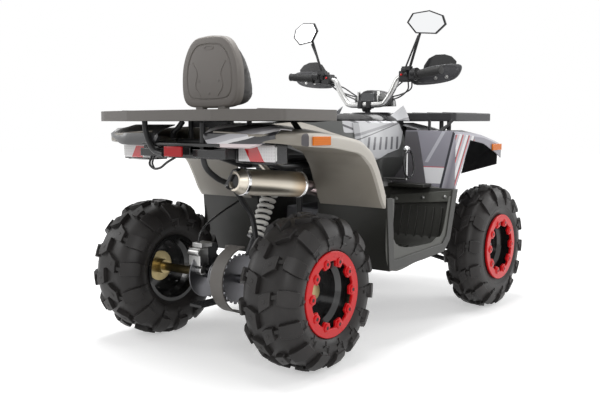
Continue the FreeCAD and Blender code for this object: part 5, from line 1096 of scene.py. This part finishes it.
# %% Footwell rims
RIM_OUTER = [(-0.288, 0.586), (-0.270, 0.318), (-0.050, 0.312), (0.140, 0.330), (0.205, 0.385), (0.262, 0.560)]
RIM_INNER = [(-0.234, 0.583), (-0.219, 0.405), (0.029, 0.375), (0.104, 0.392), (0.157, 0.410), (0.212, 0.560)]
RIM_OUT = 0.4912
# Across the rim, from its outer edge to its inner: share, and how far it stands out.
RIM_SHAPE = [(0, 0.0), (0.5, 0.0014), (0.86, 0.0012), (0.95, 0.0006), (1.0, 0.0)]
outer_line, inner_line = [smooth_line([(x, 0, z) for x, z in corners]) for corners in (RIM_OUTER, RIM_INNER)]
rim_rows = [[outer + (inner - outer) * share + Vector((0, RIM_OUT + proud, 0)) for share, proud in RIM_SHAPE]
            for outer, inner in zip(outer_line, inner_line)]
show("footwell_rims", both(sheet(rim_rows, 0.0026)), "footwell_rim", angle=40, slot=SLOTS["footwells"])
print("rim:", len(rim_rows), "rows of", len(RIM_SHAPE), "points")

# %% [markdown]
# Racks. Both are folded trays with long pressed ribs on top. The row tree lays the ribs side by side. Short
# struts carry the front rack, and bezels and bulbs fill the head lamps below it.

# %% Rack ribs and struts
rear_ribs = in_row(bar((-0.86, -0.36, 0.9195), (-0.60, -0.345, 0.9235)), 2, (0, 0.705, 0), "rack_grey")
rear_cross = in_row(bar((-0.69, -0.30, 0.9195), (-0.678, 0.30, 0.9230)), 3, (0.036, 0, 0), "rack_grey")
front_ribs = in_row(bar((0.46, -0.33, 0.9225), (0.80, -0.318, 0.9262)), 9, (0, 0.081, 0), "rack_dark")
show("rear_rack_ribs", joined([rear_ribs, rear_cross]), "rack_grey", bevel=0.0012)
show("front_rack_ribs", front_ribs, "rack_dark", bevel=0.0012)
struts = [bar((0.296, 0.337, 0.836), (0.306, 0.347, 0.887)),
          sweep([(0.305, 0.401, 0.836), (0.335, 0.438, 0.887)], 0.0065),
          sweep([(0.330, 0.372, 0.836), (0.345, 0.405, 0.862)], 0.0065)]
show("front_rack_struts", both(joined(struts)), "frame_black", angle=50)

# %% Head lamp bezels and bulbs
LAMP_OUT = 0.118
low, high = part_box("head_lamps")
lamp_x, lamp_z = high[0], (low[2] + high[2]) / 2
bezel = lathe((lamp_x - 0.012, LAMP_OUT, lamp_z), (1, 0, 0), [
    (0, 0.050), (0, 0.066), (0.008, 0.068), (0.014, 0.064), (0.015, 0.056), (0.010, 0.050)])
bulb = lathe((lamp_x + 0.0005, LAMP_OUT, lamp_z), (1, 0, 0), [
    (0, 0.020), (0.004, 0.020), (0.007, 0.014), (0.008, 0.002)], 32)
show("lamp_bezels", both(bezel), "tail_black", angle=40)
show("lamp_bulbs", both(bulb), "chrome_trim", angle=40)

# %% [markdown]
# Under the rear rack hangs a tangle of black parts: bent tubes that hold the lamps, a rounded lamp housing and a
# thin wire loop. Each is a line swept by a circle, a thin sheet or a rounded bar.

# %% Tail tubes and the wire loop
TAIL_TUBES = [
    [(-0.898, 0.180, 0.884), (-0.898, 0.1745, 0.842), (-0.900, 0.1525, 0.800), (-0.902, 0.1215, 0.772),
     (-0.905, 0.070, 0.762)],
    [(-0.800, 0.080, 0.880), (-0.805, 0.098, 0.858), (-0.812, 0.118, 0.838), (-0.82, 0.112, 0.815)],
    [(-0.872, -0.100, 0.875), (-0.872, -0.100, 0.795), (-0.863, -0.100, 0.725), (-0.804, -0.100, 0.677),
     (-0.724, -0.100, 0.640), (-0.664, -0.104, 0.570), (-0.630, -0.112, 0.520), (-0.615, -0.118, 0.430)],
    [(-0.615, -0.300, 0.880), (-0.612, -0.318, 0.858), (-0.612, -0.334, 0.842)]]
LOOP = [(-0.884, 0.160, 0.752), (-0.898, 0.156, 0.724), (-0.902, 0.128, 0.708), (-0.902, 0.092, 0.712),
        (-0.898, 0.060, 0.732), (-0.886, 0.030, 0.750)]
INNER_LOOP = [(-0.884, 0.146, 0.752), (-0.896, 0.143, 0.728), (-0.902, 0.128, 0.712)]


def tube(corners, radius, sides=12, steps=8, flat=1.0):
    """A tube along a soft line through corners."""
    return sweep(smooth_line(corners, steps), radius, sides, flat)


show("tail_tubes", joined([tube(corners, 0.0105) for corners in TAIL_TUBES]), "frame_black", angle=50)
show("wire_loop", joined([tube(LOOP, 0.0044, 8), tube(INNER_LOOP, 0.0036, 8)]), "frame_black", angle=60)

# %% Lamp housings and their bars
# Each row runs round one edge of the housing: place across the machine, height of the edge, rear face.
LOWER_EDGE = [(0.228, 0.738, -0.818), (0.236, 0.736, -0.823), (0.300, 0.735, -0.822), (0.380, 0.735, -0.818),
              (0.3965, 0.741, -0.808)]
UPPER_EDGE = [(0.222, 0.806, -0.826), (0.24, 0.8085, -0.830), (0.36, 0.8085, -0.828), (0.392, 0.8065, -0.818)]
# Points of a row: metres forward of the rear face and above the edge.
LOWER_SHAPE = [(0.050, 0), (0.004, 0), (0, 0.0045), (0.002, 0.007), (0.05, 0.0075)]
UPPER_SHAPE = [(0.05, 0), (0.006, 0), (0, -0.004), (0.002, -0.0065)]
hoods = [sheet([[(rear + ahead, y, z + up) for ahead, up in shape] for y, z, rear in edge], 0.002)
         for edge, shape in ((LOWER_EDGE, LOWER_SHAPE), (UPPER_EDGE, UPPER_SHAPE))]
show("lamp_hoods", both(joined(hoods)), "tail_black", angle=40)
lamp_side = bar((-0.824, 0.3925, 0.746), (-0.786, 0.3975, 0.797))
show("lamp_side_trims", both(lamp_side), "bar_silver", bevel=0.002)
lamp_bars = [bar((-0.892, -0.20, 0.792), (-0.884, 0.205, 0.803)),
             both(bar((-0.886, 0.06, 0.752), (-0.879, 0.222, 0.782)))]
show("lamp_bars", joined(lamp_bars), "tail_black", bevel=0.002)

# %% [markdown]
# Wheels and axle. Rim rings are held by rings of bolts on raised bosses, and the wheel disc has a ring of plugs.
# Each is made once and repeated by the ring tree, then moved to its wheel.

# %% Bosses, bolts and plugs on the wheels
RING_BOLTS, BOLT_CIRCLE = 10, 0.117
DISC_PLUGS, PLUG_CIRCLE = 8, 0.082
REAR_DISC_OUT = 0.004
BOSS = [(0, 0.0165), (0.0042, 0.0155), (0.0058, 0.0125), (0.0058, 0.007), (0.0030, 0.0062), (0.0030, 0.001)]
PLUG = [(-0.0045, 0.004), (-0.0045, 0.0118), (0.0045, 0.0118), (0.0045, 0.004)]
for name, x, y, (radius, _, _) in WHEELS:
    low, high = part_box("rear_rings" if "rear" in name else name.replace("_", "_ring_"))
    face = max(abs(low[1]), abs(high[1])) - abs(y)
    body, place = BODY_OF[name.replace("_", "_tyre_")], wheel_at(x, y, radius)
    boss = lathe((BOLT_CIRCLE, face - 0.001, 0), (0, 1, 0), BOSS, 20)
    ring_bolt = bolt((BOLT_CIRCLE, face + 0.0018, 0), (0, 1, 0), 0.0052, 0.0028)
    show("ring_bosses_" + name, repeated(boss, RING_BOLTS, "ring_red"), "ring_red", body, place=place)
    show("ring_bolts_" + name, repeated(ring_bolt, RING_BOLTS, "control_black"), "control_black", body,
         bevel=0.0003, place=place)
for name, x, y, (radius, _, _) in WHEELS:
    plug = lathe((PLUG_CIRCLE, REAR_DISC_OUT if "rear" in name else 0, 0), (0, 1, 0), PLUG, 20)
    show("disc_plugs_" + name, repeated(plug, DISC_PLUGS, "rim_black"), "rim_black",
         BODY_OF[name.replace("_", "_tyre_")], angle=40, place=wheel_at(x, y, radius))
print("bosses and bolts on each wheel:", RING_BOLTS, "plugs:", DISC_PLUGS)

# %% [markdown]
# Beside the left rear wheel hangs the brake caliper, a cluster of small castings, with its hose. The round
# carrier that holds the axle is finned. Both come from bars and turned shapes.

# %% Caliper, carrier fins and brake hose
CALIPER_BARS = [((-0.715, 0.086, 0.318), (-0.668, 0.150, 0.388)), ((-0.700, 0.092, 0.388), (-0.640, 0.146, 0.408)),
                ((-0.700, 0.094, 0.282), (-0.676, 0.142, 0.320))]
CALIPER_PIN = [(-0.012, 0.004), (-0.012, 0.014), (0.046, 0.014), (0.052, 0.010), (0.052, 0.003)]
castings = [bar(*corners) for corners in CALIPER_BARS]
castings += [lathe((x, 0.098, z), (0, 1, 0), CALIPER_PIN, 24) for x, z in ((-0.712, 0.372), (-0.700, 0.300))]
show("caliper_castings", joined(castings), "bar_silver", bevel=0.004, segments=3, slot="cast_alloy")
FIN_RADII = [0.064, 0.062] * 3
FIN_START, FIN_STEP, FIN_WIDTH, FIN_ROOT = -0.012, 0.011, 0.005, 0.046
fins = [lathe((-0.65, FIN_START + FIN_STEP * index, 0.2795), (0, 1, 0), [
    (0, FIN_ROOT), (0, fin_radius), (FIN_WIDTH, fin_radius), (FIN_WIDTH, FIN_ROOT)])
    for index, fin_radius in enumerate(FIN_RADII)]
show("carrier_fins", joined(fins), "cast_alloy", angle=40)
HOSE = [(-0.690, 0.120, 0.402), (-0.680, 0.120, 0.440), (-0.640, 0.116, 0.480), (-0.560, 0.112, 0.520),
        (-0.46, 0.108, 0.56)]
show("brake_hose", tube(HOSE, 0.0042, 10), "tail_black", angle=60)

# %% [markdown]
# The handlebar is a thick aluminium tube that thins under the grips. A swept line with a radius that changes along
# it gives the taper, and the clamps, switch boxes and levers are small rounded blocks around it.

# %% Handlebar, grips and clamps
BAR_LINE = [(0.250, -0.412, 1.104), (0.270, -0.310, 1.095), (0.2885, -0.222, 1.0875), (0.296, -0.178, 1.078),
            (0.296, -0.150, 1.030), (0.296, -0.118, 0.985), (0.296, -0.088, 0.9635), (0.296, 0, 0.962)]
THICK_END = 0.165
THICK_RADIUS, THIN_RADIUS, TAPER = 0.0135, 0.0111, 0.07


def bar_radius(point):
    return min(THICK_RADIUS, max(THIN_RADIUS, THICK_RADIUS - (abs(point.y) - THICK_END) * TAPER))


bar_line = smooth_line(BAR_LINE + [(x, -y, z) for x, y, z in BAR_LINE[-2::-1]], 10)
show("handlebar_tapered", sweep(bar_line, bar_radius, 24, facing=(1, 0, 0)), "bar_silver", STEERING, angle=50,
     node="handlebar")
clamp = bar((0.276, 0.012, 0.944), (0.316, 0.036, 0.981))
show("bar_clamps", both(clamp), "control_black", STEERING, bevel=0.004, segments=3)

GRIP_START, GRIP_END = Vector((0.2739, -0.296, 1.0937)), Vector((0.2498, -0.414, 1.1042))
GRIP_PITCH = 0.0072
GRIP_RIB = [(0, 0.0172), (0.0018, 0.0186), (0.0040, 0.0186), (0.0056, 0.0172)]
length = (GRIP_END - GRIP_START).length
grip = [(-0.004, 0.0125), (-0.004, 0.024), (0.002, 0.024), (0.004, 0.0172)]
place = 0.006
while place < length - 0.012:
    grip += [(place + ahead, rib_radius) for ahead, rib_radius in GRIP_RIB]
    place += GRIP_PITCH
grip += [(length + ahead, radius) for ahead, radius in ((0, 0.0176), (0.005, 0.0192), (0.010, 0.0180),
                                                        (0.011, 0.0125))]
show("grips_ribbed", both(lathe(GRIP_START, GRIP_END - GRIP_START, grip, 28)), "grip_rubber", STEERING, angle=30,
     node="hand_grips")
print("grip profile:", len(grip), "points")

# %% Switch boxes, levers and mirror stalks
SWITCH_BOXES = [((0.268, 0.196, 1.062), (0.318, 0.246, 1.112)), ((0.262, 0.252, 1.070), (0.312, 0.284, 1.116)),
                ((0.300, 0.204, 1.074), (0.346, 0.240, 1.104)), ((0.256, 0.214, 1.104), (0.300, 0.240, 1.124))]
boxes = [bar(*corners) for corners in SWITCH_BOXES]
show("switch_boxes", both(joined(boxes)), "control_black", STEERING, bevel=0.005, segments=3)
button = lathe((0.2665, 0.212, 1.094), (-1, 0, 0), [(0, 0.0045), (0.003, 0.0045), (0.004, 0.0034)], 16)
show("switch_buttons", both(button), "ring_red", STEERING, angle=40, slot="control_black")
LEVER = [(0.330, 0.232, 1.090), (0.330, 0.262, 1.092), (0.310, 0.300, 1.094), (0.3045, 0.350, 1.097),
         (0.303, 0.392, 1.100)]
lever_end = lathe((0.303, 0.394, 1.1), (0, 1, 0), [(-0.006, 0.002), (-0.004, 0.006), (0, 0.0078), (0.004, 0.006),
                                                 (0.006, 0.002)], 16)
show("hand_levers", both(joined([tube(LEVER, 0.0048, flat=1.5), lever_end])), "bar_silver", STEERING, angle=50)
stalk = [sweep([(0.268, 0.232, 1.122), (0.2625, 0.300, 1.262)], 0.0042, 10),
         bar((0.258, 0.218, 1.112), (0.284, 0.262, 1.130))]
show("mirror_stalks", both(joined(stalk)), "control_black", STEERING, bevel=0.002, angle=40)

# %% [markdown]
# Hand guards. Each is a thick lower blade with a rounded edge, held by three bolts, and a thin black upper flap.
# Both are lofts of one outline, a little smaller at the faces and bowed back towards the tip.

# %% Hand guards
BLADE = [(0.214, 1.050), (0.303, 1.0475), (0.399, 1.057), (0.452, 1.074), (0.476, 1.112), (0.470, 1.135),
         (0.398, 1.139), (0.282, 1.127), (0.225, 1.100)]
FLAP = [(0.268, 1.122), (0.315, 1.1825), (0.408, 1.1815), (0.456, 1.136), (0.40, 1.128), (0.30, 1.12)]
GUARD_BOW, BOW_START, BOW_LENGTH = 0.004, 0.36, 0.11


def guard_ring(outline, x, shrink=1.0):
    middle_y, middle_z = [sum(values) / len(outline) for values in zip(*outline)]
    ring = [(middle_y + (y - middle_y) * shrink, middle_z + (z - middle_z) * shrink) for y, z in outline]
    return [(x - GUARD_BOW * max(0, (y - BOW_START) / BOW_LENGTH) ** 2, y, z) for y, z in ring]


blade_outline, flap_outline = softened_outline(BLADE), softened_outline(FLAP, 1)
blade = loft([guard_ring(blade_outline, x, shrink) for x, shrink in (
    (0.3545, 0.965), (0.353, 0.99), (0.350, 1.0), (0.346, 0.985), (0.3445, 0.94), (0.3445, 0.80), (0.3460, 0.78))])
flap = loft([guard_ring(flap_outline, x) for x in (0.3555, 0.3525)])
show("guard_blades", both(blade), "guard_grey", STEERING, angle=32, node="handguards")
show("guard_flaps", both(flap), "tail_black", STEERING, angle=30, bevel=0.0006)
bolts = [bolt((0.3455, y, z), (-1, 0, 0), 0.0055, 0.0030)
         for y, z in ((0.344, 1.077), (0.399, 1.080), (0.240, 1.075))]
show("guard_bolts", both(joined(bolts)), "bar_silver", STEERING, bevel=0.0004)

# %% [markdown]
# In front of the handlebar sits a black domed cowl, and before it the instrument: a dark box with pale side edges
# and a tilted face. The dome is a loft of arches from the rider's side to the front.

# %% Instrument box and screen
BOX_HEIGHT, FACE_LEAN = 0.992, 0.18
box_outline = softened_outline([(-0.054, -0.042), (0.054, -0.042), (0.050, 0.040), (-0.050, 0.040)])
box = [[(0.312 + depth + z * FACE_LEAN, y * shrink, BOX_HEIGHT + z * shrink) for y, z in box_outline]
       for depth, shrink in ((0.0, 0.90), (0.004, 0.97), (0.012, 1.0), (0.055, 1.0), (0.062, 0.94))]
show("instrument_box", loft(box), "control_black", STEERING, node="instrument")
edge = bar((0.310, 0.0525, 0.956), (0.330, 0.0585, 1.026))
show("instrument_edges", both(edge), "bar_silver", STEERING, bevel=0.002)
screen = [[(x + z * FACE_LEAN, y, BOX_HEIGHT + z) for y, z in (
    (-0.038, -0.026), (0.038, -0.026), (0.036, 0.026), (-0.036, 0.026))] for x in (0.3145, 0.3105)]
show("instrument_screen", loft(screen), "screen_glass", STEERING, bevel=0.0015, slot=SLOTS["instrument"])

# %% Cowl, its wedges and the neck cover
COWL_FOOT = 0.955
# Each arch: place along the machine, half width and height.
ARCHES = [(0.352, 0.108, 1.012), (0.368, 0.114, 1.030), (0.392, 0.110, 1.034), (0.418, 0.092, 1.020),
          (0.436, 0.066, 0.995), (0.446, 0.035, 0.970)]
arches = [[(x, wide * math.cos(angle), COWL_FOOT + (high - COWL_FOOT) * math.sin(angle) ** 0.8)
           for angle in (math.pi * step / 16 for step in range(17))] for x, wide, high in ARCHES]
show("bar_cowl", loft(arches), "tail_black", STEERING, angle=50)
# The wedges: where they start, how far they reach, and their height at the rear and what it gains to the front.
WEDGE_START, WEDGE_REACH = Vector((0.246, 0.172, 0.8865)), Vector((0.105, 0.034, 0))
WEDGE_LOW, WEDGE_GAIN = 0.022, 0.048
QUARTERS = (0, 0.25, 0.5, 0.75, 1.0)
wedge = [[(WEDGE_START.x + WEDGE_REACH.x * t, WEDGE_START.y + WEDGE_REACH.y * share,
           WEDGE_START.z + (WEDGE_LOW + WEDGE_GAIN * t) * (1 - share) ** 0.8) for t in QUARTERS]
         for share in QUARTERS]
show("cowl_wedges", both(sheet(wedge, 0.003)), "side_panel_paint", angle=40, slot=SLOTS["side_panels"])
neck = []
for z, back, front, half in ((0.872, 0.240, 0.470, 0.150), (0.895, 0.245, 0.465, 0.140),
                             (0.914, 0.262, 0.445, 0.112), (0.926, 0.278, 0.425, 0.090)):
    corners = [(back, -half * 0.7), (back + 0.04, -half), (front - 0.05, -half), (front, -half * 0.6)]
    corners += [(x, -y) for x, y in corners[::-1]]
    neck.append([(x, y, z) for x, y in softened_outline(corners)])
show("neck_cover", loft(neck), "tail_black", angle=40)

# %% Control cables and the lever's loop
CABLES = [[(0.312, 0.222, 1.066), (0.352, 0.196, 1.030), (0.378, 0.140, 1.000), (0.370, 0.095, 0.985)],
          [(0.300, 0.206, 1.068), (0.330, 0.158, 1.050), (0.345, 0.112, 1.020), (0.352, 0.080, 1.000)],
          [(0.318, 0.238, 1.070), (0.366, 0.204, 1.034), (0.382, 0.140, 1.010), (0.376, 0.090, 1.000)]]
show("control_cables", both(joined([tube(corners, 0.0034, 10) for corners in CABLES])), "tail_black", STEERING,
     angle=60)
LEVER_LOOP = [(0.150, 0.742), (0.175, 0.757), (0.205, 0.735), (0.219, 0.690), (0.214, 0.650), (0.178, 0.632),
              (0.146, 0.655), (0.134, 0.700), (0.150, 0.742)]
show("lever_loop", tube([(x, -0.312, z) for x, z in LEVER_LOOP], 0.0045, steps=6), "tail_black", angle=60)

# %% [markdown]
# The studio: a white floor that keeps the machine's shadow, a white backdrop and large soft lamps. The camera
# stands low behind the rider's right shoulder, and was placed by matching the four wheels in the photograph.

# %% Camera
LOOKS_DOWN, LOOKS_RIGHT = 5.572, 51.208
camera = in_scene("camera", bpy.data.cameras.new("camera"))
camera.location = (-2.789, -2.0795, 0.8694)
camera.rotation_euler = (math.radians(90 - LOOKS_DOWN), 0, math.radians(-LOOKS_RIGHT))
camera.data.sensor_width = 36.0
camera.data.lens = 46.5
camera.data.clip_end = 60
bpy.context.scene.camera = camera
bpy.context.scene.view_settings.view_transform = "Standard"
print("camera at", tuple(round(v, 3) for v in camera.location), "lens", camera.data.lens)

# %% [markdown]
# Floor and backdrop shine only for rays that look straight at them, from the camera, off a shiny surface or
# through glass, so they turn white without lighting the machine. The floor shines less near the machine, which
# keeps the shadow under it.

# %% Backdrop and floor
AMBIENT = 0.42
FLOOR_REACH = 20
# The floor's glow rises from the first level to the second between two distances from the middle.
GLOW_FROM, GLOW_TO, GLOW_LEVELS = 0.9, 3.4, (0.44, 0.80)


def seen_directly(graph):
    """One for rays that only look at the background, else nothing."""
    camera_ray, mirrored, through_glass = [graph.add("LightPath", {}, out=kind + " Ray") for kind in (
        "Is Camera", "Is Glossy", "Is Transmission")]
    return (camera_ray + mirrored + through_glass).least(1.0)


world = bpy.data.worlds.new("studio")
world.use_nodes = True
bpy.context.scene.world = world
air = Graph(world.node_tree)
backdrop = air.tree.nodes["Background"]
backdrop.inputs["Color"].default_value = (1, 1, 1, 1)
air.feed(backdrop.inputs["Strength"], seen_directly(air) * (1 - AMBIENT) + AMBIENT)

ground = Paint("floor_white")
ground.tree.nodes.remove(ground.shader)
distance = ground.add("VectorMath", {"operation": "LENGTH"}, ground.place(), out="Value")
glow = ground.add("MapRange", {"interpolation_type": "SMOOTHSTEP"}, Value=distance, From_Min=GLOW_FROM,
                  From_Max=GLOW_TO, To_Min=GLOW_LEVELS[0], To_Max=GLOW_LEVELS[1])
matte = ground.add("BsdfDiffuse", {}, Color=(0.82, 0.82, 0.82))
shine = ground.add("Emission", {}, Color=(1.0, 1.0, 1.0), Strength=seen_directly(ground) * glow)
ground.feed(ground.tree.nodes["Material Output"].inputs["Surface"], ground.add("AddShader", {}, matte, shine))
corners = [(FLOOR_REACH * x, FLOOR_REACH * y, 0) for x, y in ((-1, -1), (1, -1), (1, 1), (-1, 1))]
floor = in_scene("floor", mesh_of("floor", (corners, [(0, 1, 2, 3)])))
floor.data.materials.append(ground.material)
print("floor:", 2 * FLOOR_REACH, "m wide")

# %% Lamps
# Each lamp: name, place, the point it looks at, width and power.
LAMPS = [("overhead", (-0.2, 0.2, 3.4), (0, 0, 0.4), 2.2, 105),
         ("behind_camera", (-3.4, -3.4, 2.4), (0, 0, 0.5), 1.6, 52),
         ("left_side", (-2.2, 3.4, 2.0), (0, 0, 0.5), 1.8, 34),
         ("front_edge", (3.0, -2.2, 2.0), (0, 0, 0.6), 1.6, 40)]
for name, spot, aim, wide, power in LAMPS:
    lamp = bpy.data.lights.new(name, "AREA")
    lamp.shape = "DISK"
    lamp.size = wide
    lamp.energy = power
    holder = in_scene(name, lamp)
    holder.location = spot
    holder.rotation_euler = (Vector(aim) - Vector(spot)).to_track_quat("-Z", "Y").to_euler()
print("lamps:", len(LAMPS))
